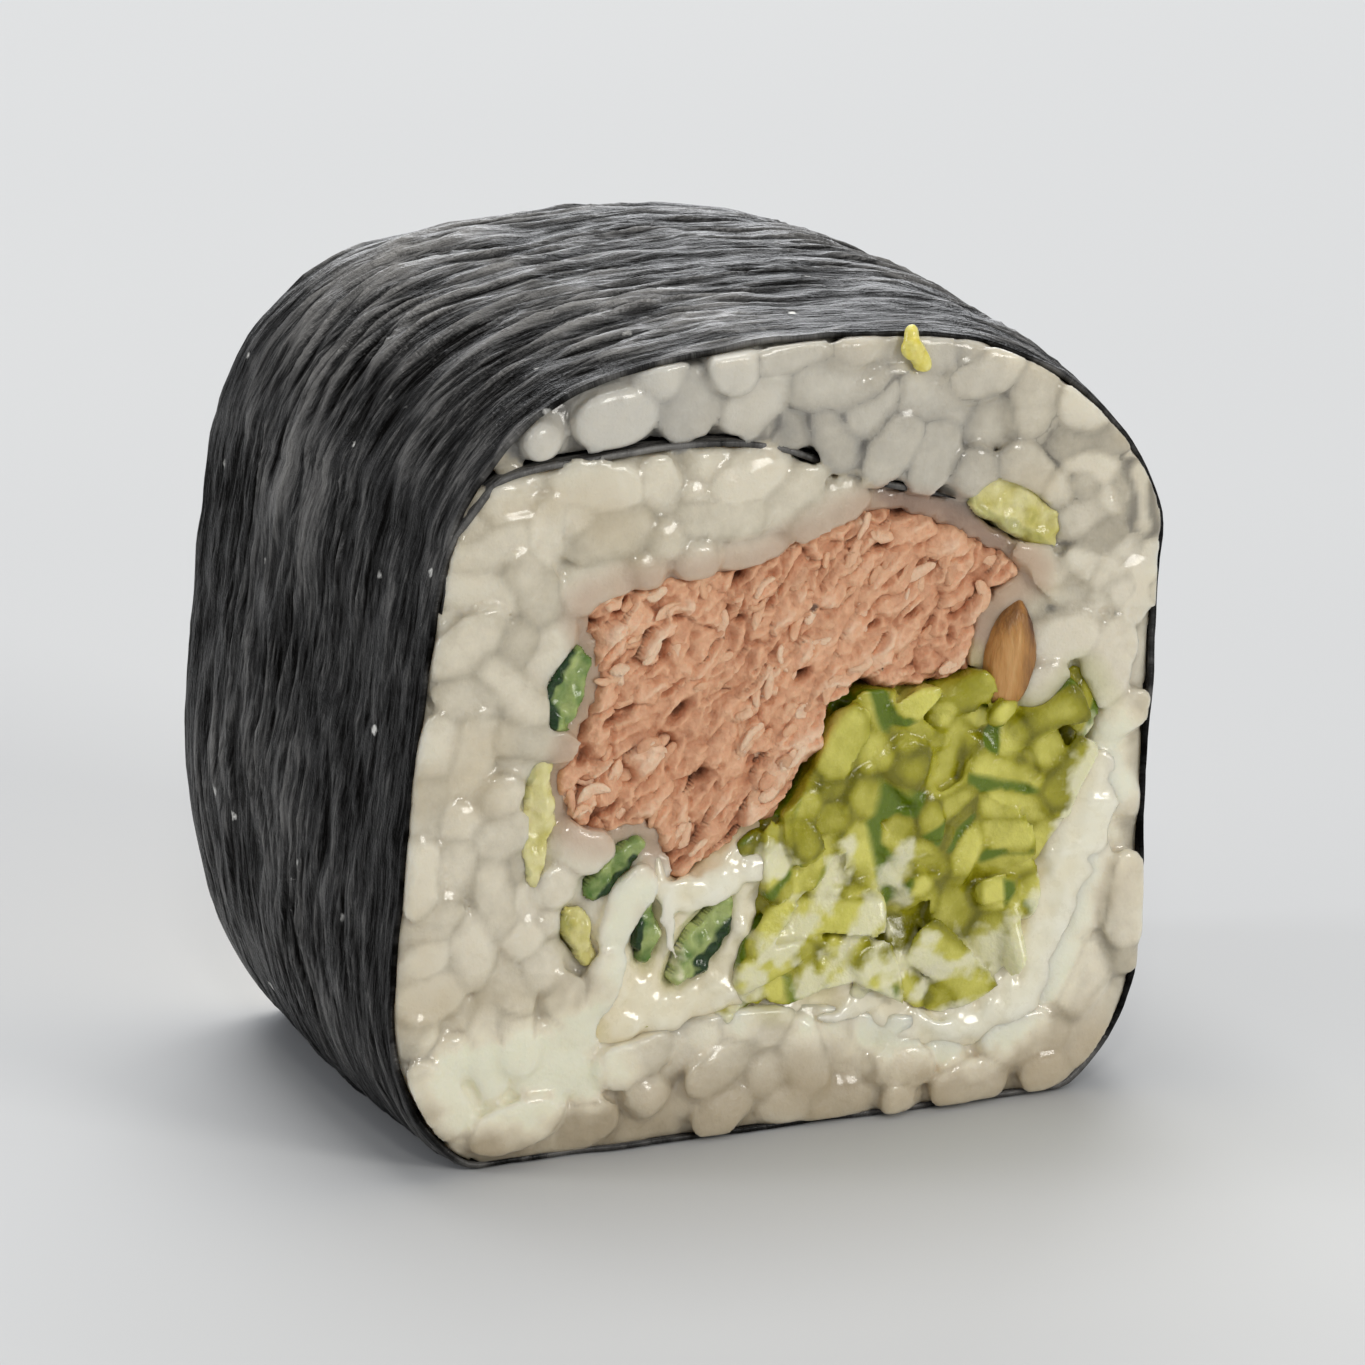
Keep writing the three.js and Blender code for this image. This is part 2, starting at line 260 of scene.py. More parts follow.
@dataclass
class DistanceMap:
    """Distance to a region's edge over the cut, positive inside the region."""

    values: Array
    low: Pair = (-27.0, -4.0)
    step: float = 0.2

    SIZE: ClassVar[tuple[int, int]] = (271, 256)

    @classmethod
    def grid(cls) -> tuple[Array, Array]:
        """X and z of every place on the map."""
        xs, zs = (low + cls.step * np.arange(size) for low, size in zip(cls.low, cls.SIZE))
        return np.meshgrid(xs, zs, indexing="ij")

    @classmethod
    def of_outline(cls, outline: Array) -> "DistanceMap":
        """Measure the map of a closed outline.

        Args:
            outline: The outline's points, in order.

        Returns:
            Its map, positive inside.
        """
        xs, zs = cls.grid()
        inside = np.zeros(xs.shape, dtype=bool)
        for start, end in zip(outline, np.roll(outline, -1, axis=0)):
            if start[1] != end[1]:
                crossing = start[0] + (end[0] - start[0]) * (zs - start[1]) / (end[1] - start[1])
                inside ^= ((start[1] > zs) != (end[1] > zs)) & (xs < crossing)
        return cls(cls._gap(np.vstack([outline, outline[:1]])) * np.where(inside, 1, -1))

    @classmethod
    def of_line(cls, line: Array, half: float) -> "DistanceMap":
        """Map of an open line with some thickness."""
        return cls(half - cls._gap(line))

    @classmethod
    def _gap(cls, line: Array) -> Array:
        """Distance from every place to an open line.

        Args:
            line: The line's points, in order.

        Returns:
            The distances, over the map.
        """
        xs, zs = cls.grid()
        near = np.full(xs.shape, np.inf)
        for start, end in zip(line, line[1:]):
            run = end - start
            share = np.clip(((xs - start[0]) * run[0] + (zs - start[1]) * run[1]) / max(run @ run, 1e-9), 0, 1)
            gap = (xs - start[0] - share * run[0]) ** 2 + (zs - start[1] - share * run[1]) ** 2
            near = np.minimum(near, gap)
        return np.sqrt(near)

    def at(self, places: Array) -> Array:
        """Distance at places of the cut, one (x, z) row each."""
        return self._read(self.values, places)

    def slope(self, places: Array) -> Array:
        """Direction in which the distance grows, at places of the cut."""
        grown = np.gradient(self.values, self.step)
        return unit(np.column_stack([self._read(part, places) for part in grown]))

    def press(self, points: Array, margin: float) -> None:
        """Move points of space that come nearer to the region's edge than a margin back into it."""
        places = points[:, CUT]
        points[:, CUT] += self.slope(places) * np.maximum(margin - self.at(places), 0.0)[:, None]

    def _read(self, table: Array, places: Array) -> Array:
        """Read a table between its places.

        Args:
            table: Values over the map.
            places: Section points, one (x, z) row each.

        Returns:
            One value for each place.
        """
        spots = (places - np.array(self.low)) / self.step
        limit = np.array(table.shape) - 1.001
        spots = np.clip(spots, 0, limit)
        cell = spots.astype(np.int64)
        rest = spots - cell
        i, j = cell[:, 0], cell[:, 1]
        left = table[i, j] * (1 - rest[:, 1]) + table[i, j + 1] * rest[:, 1]
        right = table[i + 1, j] * (1 - rest[:, 1]) + table[i + 1, j + 1] * rest[:, 1]
        return left * (1 - rest[:, 0]) + right * rest[:, 0]

    def shrunk(self, by: float | Array) -> "DistanceMap":
        """The same region, moved in from its edge, by one distance or by one for each place."""
        return DistanceMap(self.values - by)

    def without(self, *others: "DistanceMap") -> "DistanceMap":
        """The region with other regions cut out of it."""
        return DistanceMap(np.minimum.reduce([self.values] + [-other.values for other in others]))

    def joined(self, *others: "DistanceMap") -> "DistanceMap":
        """The region together with other regions."""
        return DistanceMap(np.maximum.reduce([self.values] + [other.values for other in others]))

    def ruffled(self, size: float, by: float, seed: int) -> "DistanceMap":
        """The region with an uneven edge."""
        places = np.stack(self.grid(), axis=-1).reshape(-1, 2)
        return DistanceMap(self.values + by * Clouds.layered(places, size, seed).reshape(self.values.shape))


@dataclass(frozen=True)
class StrandPlan:
    """Where one loose shred crosses the cut."""

    node: str
    centre: Pair
    across: float
    up: float
    turn: float

    def outline(self) -> Array:
        """Draw its outline on the cut, a turned ellipse.

        Returns:
            The outline's points.
        """
        angle = np.linspace(0, 2 * np.pi, 28, endpoint=False)
        flat = np.column_stack([self.across * np.cos(angle), self.up * np.sin(angle)])
        cos, sin = math.cos(math.radians(self.turn)), math.sin(math.radians(self.turn))
        return Outline.moved(flat @ np.array([[cos, sin], [-sin, cos]]) + np.asarray(self.centre))


@dataclass(frozen=True)
class SmearPlan:
    """Where the knife drew cheese over the cut: half its width, its line, and its depth unless it is a film."""

    half: float
    corners: tuple[Pair, ...]
    deep: float | None = None

    def line(self, step: float) -> Array:
        """Its middle line on the cut."""
        return Outline.moved(Outline.resampled(Outline.through(self.corners, closed=False), step))


@dataclass
class CutSection:
    """The lines of the cut: the wrap, its lap and the region of each filling."""

    wrap_anchors: tuple[tuple[Pair, Pair], ...] = (
        ((15.6, 0.0), (2.8, 0.0)), ((21.3, 8.5), (0.0, 4.2)), ((22.3, 30.0), (0.5, 5.0)),
        ((11.0, 42.3), (-5.2, 1.3)), ((-9.0, 42.4), (-5.6, -1.0)), ((-18.9, 32.5), (-1.2, -5.0)),
        ((-21.9, 9.0), (0.0, -4.6)), ((-16.4, 0.0), (2.8, 0.0)),
    )
    lap_points: tuple[Pair, ...] = (
        (-15.9, 37.35), (-13.6, 37.75), (-10.0, 38.0), (-3.5, 38.1), (0.8, 37.2), (5.0, 35.2), (10.4, 33.7),
    )
    tuna_corners: tuple[Pair, ...] = (
        (-11.0, 30.2), (-10.2, 26.0), (-12.3, 21.4), (-11.8, 18.0), (-9.8, 17.3), (-7.4, 17.5), (-5.6, 14.1),
        (-2.4, 16.1), (1.2, 18.2), (4.3, 23.4), (8.0, 23.4), (11.4, 24.0), (12.4, 27.0), (14.6, 29.2),
        (10.6, 32.0), (6.6, 33.7), (2.6, 33.0), (-1.0, 31.6), (-6.0, 31.2),
    )
    cucumber_corners: tuple[Pair, ...] = (
        (-2.6, 7.8), (0.4, 6.8), (4.0, 7.6), (9.6, 5.2), (13.4, 6.8), (15.4, 11.4), (17.2, 16.0), (19.0, 20.4),
        (17.4, 23.6), (14.8, 21.6), (11.2, 24.6), (6.4, 25.4), (1.8, 22.0), (-0.6, 17.4), (-1.2, 12.4),
    )
    cheese_corners: tuple[Pair, ...] = (
        (-19.4, 5.8), (-18.8, 2.8), (-13.8, 2.2), (-9.6, 4.6), (-6.0, 5.6), (0.0, 6.0), (7.0, 4.6), (13.6, 3.8),
        (17.0, 8.4), (18.8, 13.6), (19.2, 17.6), (13.0, 15.0), (1.4, 18.6), (-4.6, 16.6), (-9.0, 12.6),
        (-10.2, 8.8), (-14.8, 7.6),
    )
    strands: tuple[StrandPlan, ...] = (
        StrandPlan("strand_top", (13.8, 32.5), 3.2, 1.55, -34),
        StrandPlan("strand_left", (-13.6, 19.0), 0.9, 3.9, -5),
        StrandPlan("strand_peel", (-12.0, 25.6), 1.15, 2.5, -18),
        StrandPlan("strand_diagonal", (-9.3, 15.6), 2.3, 0.9, 38),
        StrandPlan("strand_olive", (-11.4, 12.2), 0.9, 1.9, 22),
        StrandPlan("strand_green", (-7.4, 11.9), 0.7, 2.2, -3),
        StrandPlan("strand_slant", (-4.3, 10.8), 2.9, 1.1, 54),
    )
    seed_plan: StrandPlan = StrandPlan("seed", (13.6, 24.6), 1.1, 2.4, -10)
    smears: tuple[SmearPlan, ...] = tuple(SmearPlan(*row) for row in (
        (0.55, ((1.6, 7.4), (3.6, 9.2), (5.2, 11.0), (6.6, 13.4))),
        (1.7, ((-18.4, 4.8), (-15.6, 5.4), (-12.0, 6.4), (-8.6, 7.8))),
        (0.5, ((-8.9, 7.4), (-9.0, 10.4), (-8.7, 13.6))),
        (1.0, ((-7.0, 14.2), (-5.2, 13.6), (-2.4, 14.2), (0.0, 15.0)), 0.1),
        (0.5, ((-6.4, 14.0), (-6.2, 11.4), (-5.6, 9.6)), -0.2),
        (0.6, ((3.8, 6.6), (6.6, 7.6), (8.2, 8.8))),
        (0.5, ((7.4, 4.8), (8.6, 7.2), (8.8, 9.4))),
        (0.5, ((11.8, 7.8), (12.8, 9.2), (14.4, 10.4))),
        (1.5, ((6.0, 4.6), (11.4, 4.2), (14.6, 5.6), (16.6, 8.8)), 0.35),
        (1.8, ((14.2, 6.8), (16.9, 12.2), (18.4, 16.2), (19.1, 18.8)), 0.45),
        (0.5, ((-3.0, 8.4), (-0.8, 10.0), (1.2, 12.4))),
        (0.7, ((2.2, 5.8), (5.0, 6.2), (6.4, 7.0)), 0.2),
        (0.8, ((-18.6, 3.4), (-14.2, 3.0), (-9.8, 4.8))),
        (0.7, ((-3.4, 6.6), (-0.6, 9.0), (3.0, 12.6), (4.0, 15.2))),
        (0.8, ((2.0, 7.0), (6.0, 8.4), (10.4, 8.0), (14.0, 9.4))),
        (0.5, ((5.2, 8.8), (7.0, 12.0), (7.4, 14.6))),
    ))
    crown_corners: tuple[Pair, ...] = ((16.6, 31.4), (24.0, 30.4), (24.0, 46.0), (-24.0, 46.0), (-24.0, 36.6))
    lap_room: float = 0.17
    lap_overlap: float = 0.02
    shoulder: Pair = (10.4, 16.0)
    shoulder_overlap: float = 4.0
    rice_inset: float = 0.12
    rice_tucks: tuple[float, float, float] = (0.5, 0.4, 0.28)
    cheese_tucks: Pair = (0.3, 0.25)
    cheese_edge: tuple[float, float, int] = (3.4, 0.9, 31)
    mingle: float = 0.9
    spur: Pair = (-13.0, -8.5)
    spur_mingle: float = 2.2
    joint: Pair = (-17.4, 36.4)
    flap: float = 6.0
    sunk: float = 0.1
    wrap_step: float = 0.9
    line_step: float = 0.8
    sheet_step: float = 0.4
    wrap: Array = field(init=False)
    lap: Array = field(init=False)
    sheet: Array = field(init=False)
    lap_map: DistanceMap = field(init=False)
    tuna_map: DistanceMap = field(init=False)
    cucumber_map: DistanceMap = field(init=False)
    cheese_map: DistanceMap = field(init=False)
    lap_rice_map: DistanceMap = field(init=False)
    main_rice_map: DistanceMap = field(init=False)
    back_rice_map: DistanceMap = field(init=False)
    smear_map: DistanceMap = field(init=False)

    def __post_init__(self) -> None:
        """Draw the lines and measure the regions."""
        across, _ = DistanceMap.grid()
        self.wrap = Outline.moved(self._wrap_line())
        self.lap = Outline.moved(Outline.through(self.lap_points, closed=False))
        self.sheet = self._sheet_line()
        whole = DistanceMap.of_outline(Outline.resampled(self.wrap, self.wrap_step, closed=True))
        self.tuna_map = self._region(self.tuna_corners)
        whole_cucumber = self._region(self.cucumber_corners)
        whole_cheese = self._region(self.cheese_corners)
        strands = [DistanceMap.of_outline(plan.outline()) for plan in (*self.strands, self.seed_plan)]
        self.cucumber_map = whole_cucumber.without(self.tuna_map, strands[-1])
        by_tuna, by_strands = self.cheese_tucks
        self.cheese_map = whole_cheese.ruffled(*self.cheese_edge).without(
            self.tuna_map.shrunk(by_tuna), whole_cucumber.shrunk(self.mingle),
            *(strand.shrunk(by_strands) for strand in strands))
        self.lap_map = DistanceMap.of_line(Outline.resampled(self.lap, self.line_step), SHEET_THICKNESS / 2)
        by_tuna, by_cucumber, by_strands = self.rice_tucks
        *shreds, seed = (strand.shrunk(by_strands) for strand in strands)
        mingle = self.mingle + self.spur_mingle * (1 - smoothstep(across, *self.spur))
        rice = whole.shrunk(self.rice_inset).without(
            self.tuna_map.shrunk(by_tuna), whole_cucumber.shrunk(by_cucumber), whole_cheese.shrunk(mingle),
            *shreds, self.lap_map.shrunk(-self.lap_room))
        crown = DistanceMap.of_outline(np.vstack([self.lap, Outline.moved(np.array(self.crown_corners))]))
        meet = (SHEET_THICKNESS / 2 + self.lap_room - self.lap_overlap
                + self.shoulder_overlap * smoothstep(across, *self.shoulder))
        self.lap_rice_map = DistanceMap(np.minimum(rice.values, crown.values + meet))
        self.back_rice_map = DistanceMap(np.minimum(rice.values, meet - crown.values))
        self.main_rice_map = self.back_rice_map.without(seed)
        first, *others = (DistanceMap.of_line(smear.line(self.line_step), smear.half) for smear in self.smears)
        self.smear_map = first.joined(*others)

    @staticmethod
    def _region(corners: Sequence[Pair]) -> DistanceMap:
        """Map of the region inside a smooth line through corners."""
        return DistanceMap.of_outline(Outline.moved(Outline.through(corners, closed=True, pieces=5)))

    def _sheet_line(self) -> Array:
        """Draw the rolled sheet's middle line, from its inner end to its outer end.

        Returns:
            Section points, 0.2 mm apart: the lap, once round, then the flap over the sheet's own start.
        """
        step = self.sheet_step
        wrap = Outline.resampled(self.wrap, step, closed=True)
        middle = DistanceMap.of_outline(wrap)
        wrap = wrap + middle.slope(wrap) * (SHEET_THICKNESS / 2)
        start = int(np.argmin(np.linalg.norm(wrap - np.array(self.joint), axis=1)))
        round_once = np.roll(wrap, -start, axis=0)
        run = step * np.arange(len(round_once))
        under = 1 - smoothstep(run, 0.5, self.flap + 0.5)
        first = round_once + middle.slope(round_once) * (self.sunk * under)[:, None]
        over = round_once[: int(self.flap / step) + 1]
        line = Outline.resampled(np.vstack([self.lap[::-1], first[4:], over]), step / 2)
        padded = np.pad(line, ((4, 4), (0, 0)), mode="edge")
        softened = np.column_stack([np.convolve(part, np.ones(9) / 9, mode="valid") for part in padded.T])
        softened[:3], softened[-3:] = line[:3], line[-3:]
        return softened

    def _wrap_line(self) -> Array:
        """Draw the outer line of the wrap, anticlockwise from the right end of the foot.

        Returns:
            Its points, the foot's straight stretch included.
        """
        drawn = []
        for (start, leave), (end, reach) in zip(self.wrap_anchors, self.wrap_anchors[1:]):
            first, last = np.array(start), np.array(end)
            one, two = first + np.array(leave), last - np.array(reach)
            for share in np.arange(24) / 24:
                rest = 1 - share
                drawn.append(rest ** 3 * first + 3 * rest ** 2 * share * one
                             + 3 * rest * share ** 2 * two + share ** 3 * last)
        left, right = np.array(self.wrap_anchors[-1][0]), np.array(self.wrap_anchors[0][0])
        drawn.extend(left + (right - left) * share for share in np.arange(16) / 16)
        return np.array(drawn)


def swelled(points: Array) -> Array:
    """Swell the wrap a little between the two cuts, as the rice presses it out.

    Args:
        points: Places in space.

    Returns:
        The places, moved outwards near the wrap.
    """
    middle_x = points[:, 0] - SIDE_SHIFT
    reach = np.hypot(middle_x / HALF_WIDTH, 2 * points[:, 2] / HEIGHT - 1)
    share = smoothstep(reach, *SWELL_RIM) * np.maximum(0, 1 - (points[:, 1] / HALF_LENGTH) ** 2)
    wide, high = (1 + swell * share for swell in SWELL)
    return np.column_stack([middle_x * wide + SIDE_SHIFT, points[:, 1], points[:, 2] * high])


def leaned(points: Array) -> Array:
    """Lean the roll towards its back cut: the crown goes to the left and the left hip tucks in.

    Args:
        points: Places in space.

    Returns:
        The places, moved sideways behind the front cut.
    """
    back = (points[:, 1] + HALF_LENGTH) / LENGTH
    tuck = TUCK * smoothstep(SIDE_SHIFT - points[:, 0], *TUCK_SIDE)
    tuck *= 1 - smoothstep(points[:, 2], *TUCK_HEIGHT)
    moved = points.copy()
    moved[:, 0] += back * (tuck - LEAN_RISE * (points[:, 2] - LEAN_LEVEL))
    return moved


# -- Meshes ----------------------------------------


def placed(name: str, data: bpy.types.ID) -> bpy.types.Object:
    """Make an object and put it in the scene.

    Args:
        name: Its name.
        data: What it shows.

    Returns:
        The object.
    """
    made = bpy.data.objects.new(name, data)
    bpy.context.scene.collection.objects.link(made)
    return made


def grid_quads(rows: int, columns: int) -> Index:
    """The faces of points that lie in rows and columns."""
    grid = np.arange(rows * columns).reshape(rows, columns)
    return np.stack([grid[:-1, :-1], grid[:-1, 1:], grid[1:, 1:], grid[1:, :-1]], axis=-1).reshape(-1, 4)


def edges_of(quads: Index) -> Index:
    """The edges of faces, each as its two ends."""
    return np.vstack([quads[:, [n, (n + 1) % 4]] for n in range(4)])


def neighbour_mean(ends: Index, values: Array) -> Array:
    """Mean of a number over the points that each point is joined to by an edge."""
    number = np.bincount(ends[:, 0], minlength=len(values)).clip(1)
    return np.bincount(ends[:, 0], values[ends[:, 1]], len(values)) / number


@dataclass
class MeshDraft:
    """A mesh in the making, with a number on each point for every mark that its finish reads."""

    points: Array
    quads: Index
    tris: Index = field(default_factory=lambda: np.zeros((0, 3), dtype=np.int64))
    marks: dict[str, Array] = field(default_factory=dict)

    def marked(self, **marks: float | Array) -> "MeshDraft":
        """Put a number on every point.

        Args:
            marks: Value for all points, or one value for each, under the mark's name.

        Returns:
            This draft.
        """
        for name, value in marks.items():
            self.marks[name] = np.broadcast_to(np.asarray(value, dtype=np.float64), (len(self.points),)).copy()
        return self

    def softened(self, rounds: int) -> "MeshDraft":
        """Blend every mark with those of the points next to it.

        Args:
            rounds: How often.

        Returns:
            This draft.
        """
        ends = edges_of(self.quads)
        for name, values in self.marks.items():
            for _ in range(rounds):
                values = 0.4 * values + 0.6 * neighbour_mean(ends, values)
            self.marks[name] = values
        return self

    def on(self, face: Face) -> "MeshDraft":
        """This skin, made for the front cut, on the cut that it is for."""
        turned = MeshDraft(self.points * MIRROR, self.quads[:, ::-1], self.tris[:, ::-1], self.marks)
        return self if face is Face.FRONT else turned

    def standing(self) -> Array:
        """How far each point stands out of the cut on its side."""
        return np.abs(self.points[:, 1]) - HALF_LENGTH

    @staticmethod
    def joined(drafts: Sequence["MeshDraft"]) -> "MeshDraft":
        """Join drafts into one.

        Args:
            drafts: Drafts that carry the same marks.

        Returns:
            One draft with all of their points and faces.
        """
        starts = np.concatenate([[0], np.cumsum([len(draft.points) for draft in drafts])])
        return MeshDraft(
            np.vstack([draft.points for draft in drafts]),
            np.vstack([draft.quads + start for draft, start in zip(drafts, starts)]),
            np.vstack([draft.tris + start for draft, start in zip(drafts, starts)]),
            {name: np.concatenate([draft.marks[name] for draft in drafts]) for name in drafts[0].marks},
        )

    def mesh(self, name: str, scale: float) -> bpy.types.Mesh:
        """Make the Blender mesh.

        Args:
            name: Its name.
            scale: Blender units for a millimetre.

        Returns:
            The mesh, without its marks.
        """
        mesh = bpy.data.meshes.new(name)
        corners = np.concatenate([self.quads.ravel(), self.tris.ravel()]).astype(np.int32)
        sizes = np.repeat([4, 3], [len(self.quads), len(self.tris)])
        starts = np.cumsum(sizes) - sizes
        mesh.vertices.add(len(self.points))
        mesh.vertices.foreach_set("co", (self.points * scale).astype(np.float32).ravel())
        mesh.loops.add(len(corners))
        mesh.loops.foreach_set("vertex_index", corners)
        mesh.polygons.add(len(starts))
        mesh.polygons.foreach_set("loop_start", starts.astype(np.int32))
        mesh.update(calc_edges=True)
        mesh.validate()
        return mesh

    def built(self, name: str, material: bpy.types.Material, slot: str, replaces: Sequence[str] = ()) -> None:
        """Make the Blender object, in metres, and hang it on the frame.

        Args:
            name: Name of the piece.
            material: Its finish.
            slot: Not used.
            replaces: CAD nodes that it stands for.
        """
        self.points = leaned(self.points)
        mesh = self.mesh(name, MM)
        mesh.shade_smooth()
        for mark, values in self.marks.items():
            mesh.attributes.new(mark, "FLOAT", "POINT").data.foreach_set("value", values.astype(np.float32))
        mesh.materials.append(material)
        piece = placed(name, mesh)
        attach(piece, "root")
        if replaces:
            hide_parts(*replaces)
        LOG.info("%s: %d triangles", name, 2 * len(self.quads) + len(self.tris))


def swept(line: Array, across: Array, halves: Array, sides: int, square: float = 2.0) -> MeshDraft:
    """Skin a line with rings, closed to a point at each end.

    Args:
        line: Points along the middle, with both tips.
        across: Direction of the rings' width.
        halves: Half width and half thickness of each ring.
        sides: Points in a ring.
        square: 2 for oval rings, more for boxy ones.

    Returns:
        The closed skin.
    """
    along = unit(np.gradient(line, axis=0))
    side = unit(across - np.sum(along * across, axis=1, keepdims=True) * along)
    up = np.cross(along, side)
    angle = np.linspace(0, 2 * np.pi, sides, endpoint=False)
    wide = np.sign(np.cos(angle)) * np.abs(np.cos(angle)) ** (2 / square)
    high = np.sign(np.sin(angle)) * np.abs(np.sin(angle)) ** (2 / square)
    rings = (line[1:-1, None] + side[1:-1, None] * (halves[:, 0:1] * wide)[..., None]
             + up[1:-1, None] * (halves[:, 1:2] * high)[..., None])
    count = len(rings)
    points = np.vstack([rings.reshape(-1, 3), line[:1], line[-1:]])
    ring, place = np.meshgrid(np.arange(count - 1), np.arange(sides), indexing="ij")
    here, after = ring * sides + place, ring * sides + (place + 1) % sides
    quads = np.stack([here, after, after + sides, here + sides], axis=-1).reshape(-1, 4)
    spot = np.arange(sides)
    turn = (spot + 1) % sides
    last = (count - 1) * sides
    first_tip = np.column_stack([np.full(sides, count * sides), turn, spot])
    last_tip = np.column_stack([np.full(sides, count * sides + 1), last + spot, last + turn])
    return MeshDraft(points, quads, np.vstack([first_tip, last_tip]))


def fused(draft: MeshDraft, voxel: float, rounds: int = 2) -> MeshDraft:
    """Fuse overlapping closed skins into one.

    Args:
        draft: The skins.
        voxel: Size of the smallest form that is kept.
        rounds: How often the fused skin is smoothed.

    Returns:
        The one skin round all of them, without marks.
    """
    mesh = draft.mesh("fusing", 1.0)
    body = placed("fusing", mesh)
    remesh = body.modifiers.new("fuse", "REMESH")
    remesh.mode, remesh.voxel_size = "VOXEL", voxel
    shown = body.evaluated_get(bpy.context.evaluated_depsgraph_get())
    skin = shown.to_mesh()
    points = np.empty(len(skin.vertices) * 3)
    skin.vertices.foreach_get("co", points)
    corners = np.empty(len(skin.loops), dtype=np.int64)
    skin.loops.foreach_get("vertex_index", corners)
    sizes = np.empty(len(skin.polygons), dtype=np.int64)
    skin.polygons.foreach_get("loop_total", sizes)
    starts = np.concatenate([[0], np.cumsum(sizes)[:-1]])
    quads = corners[starts[sizes == 4][:, None] + np.arange(4)]
    tris = corners[starts[sizes == 3][:, None] + np.arange(3)]
    shown.to_mesh_clear()
    bpy.data.objects.remove(body)
    bpy.data.meshes.remove(mesh)
    points, ends = points.reshape(-1, 3), edges_of(quads)
    for pull in EASING * rounds:
        middle = np.column_stack([neighbour_mean(ends, points[:, axis]) for axis in range(3)])
        points = points + pull * (middle - points)
    return MeshDraft(points, quads, tris)


@dataclass
class ReliefBar:
    """A bar from cut to cut with an uneven skin on both cut faces, or a slab at the front cut alone."""

    region: DistanceMap
    step: float
    slab: float | None = None

    SPAN_X: ClassVar[Pair] = (-26.0, 26.0)
    SPAN_Z: ClassVar[Pair] = (-1.0, 45.0)
    RIM_SHARE: ClassVar[float] = 0.85
    PATCH_SHARE: ClassVar[float] = 0.06
    PATCH_ROUNDS: ClassVar[int] = 400

    def level(self, deep: float) -> MeshDraft:
        """Build the bar with flat ends, this deep behind each cut."""
        return self.draft(lambda places, _: np.full(len(places), -deep))

    def draft(self, height: Callable[[Array, Face], Array]) -> MeshDraft:
        """Build the bar.

        Args:
            height: Gives how far the skin stands out of the cut at section points, for a face.

        Returns:
            The closed skin.
        """
        spans = (np.arange(*span, self.step) for span in (self.SPAN_X, self.SPAN_Z))
        grid = np.stack(np.meshgrid(*spans, indexing="ij"), axis=-1)
        depth = self.region.at(grid.reshape(-1, 2)).reshape(grid.shape[:2])
        inside = depth > 0
        cells = inside[:-1, :-1] & inside[1:, :-1] & inside[1:, 1:] & inside[:-1, 1:]
        cells = self._largest(cells)
        number = np.arange(grid.shape[0] * grid.shape[1]).reshape(grid.shape[:2])
        i, j = np.nonzero(cells)
        quads = np.column_stack([number[i, j], number[i + 1, j], number[i + 1, j + 1], number[i, j + 1]])
        used, compact = np.unique(quads, return_inverse=True)
        quads = compact.reshape(-1, 4)
        places = grid.reshape(-1, 2)[used]
        gap = depth.ravel()[used]
        rim = gap < self.step
        places[rim] -= self.region.slope(places[rim]) * (gap[rim] * self.RIM_SHARE)[:, None]
        count = len(places)
        front = height(places, Face.FRONT)
        back = height(places, Face.BACK) if self.slab is None else np.full(count, self.slab - LENGTH)
        points = np.vstack([
            np.column_stack([places[:, 0], -HALF_LENGTH - front, places[:, 1]]),
            np.column_stack([places[:, 0], HALF_LENGTH + back, places[:, 1]]),
        ])
        edges = edges_of(quads)
        key = edges[:, 0] * count + edges[:, 1]
        other = edges[:, 1] * count + edges[:, 0]
        first, last = edges[~np.isin(key, other)].T
        walls = np.column_stack([last, first, first + count, last + count])
        return MeshDraft(points, np.vstack([quads, quads[:, ::-1] + count, walls]))

    @classmethod
    def _largest(cls, cells: NDArray[np.bool_]) -> NDArray[np.bool_]:
        """Keep cells in patches of some size, joined side by side.

        Args:
            cells: Which cells of the grid are in the region.

        Returns:
            The same, without small loose patches.
        """
        label = np.where(cells, np.arange(1, cells.size + 1).reshape(cells.shape), 0)
        for _ in range(cls.PATCH_ROUNDS):
            spread = label.copy()
            spread[1:] = np.maximum(spread[1:], label[:-1])
            spread[:-1] = np.maximum(spread[:-1], label[1:])
            spread[:, 1:] = np.maximum(spread[:, 1:], label[:, :-1])
            spread[:, :-1] = np.maximum(spread[:, :-1], label[:, 1:])
            spread = np.where(cells, spread, 0)
            if np.array_equal(spread, label):
                break
            label = spread
        names, counts = np.unique(label[cells], return_counts=True)
        return cells & np.isin(label, names[counts > cls.PATCH_SHARE * counts.max()])


@dataclass(frozen=True)
class RodPlan:
    """One rod that lies in a known place on the cut."""

    x: float
    z: float
    deep: float
    turn: float
    tip: float
    half: float
    radius: float

    def middle(self) -> Array:
        """Its middle, with the depth behind the cut as y."""
        return np.array([self.x + SIDE_SHIFT, self.deep, self.z])

    def way(self) -> Array:
        """Its direction: turned on the cut, then tipped into it."""
        turn, tip = math.radians(self.turn), math.radians(self.tip)
        return np.array([math.cos(tip) * math.cos(turn), math.sin(tip), math.cos(tip) * math.sin(turn)])


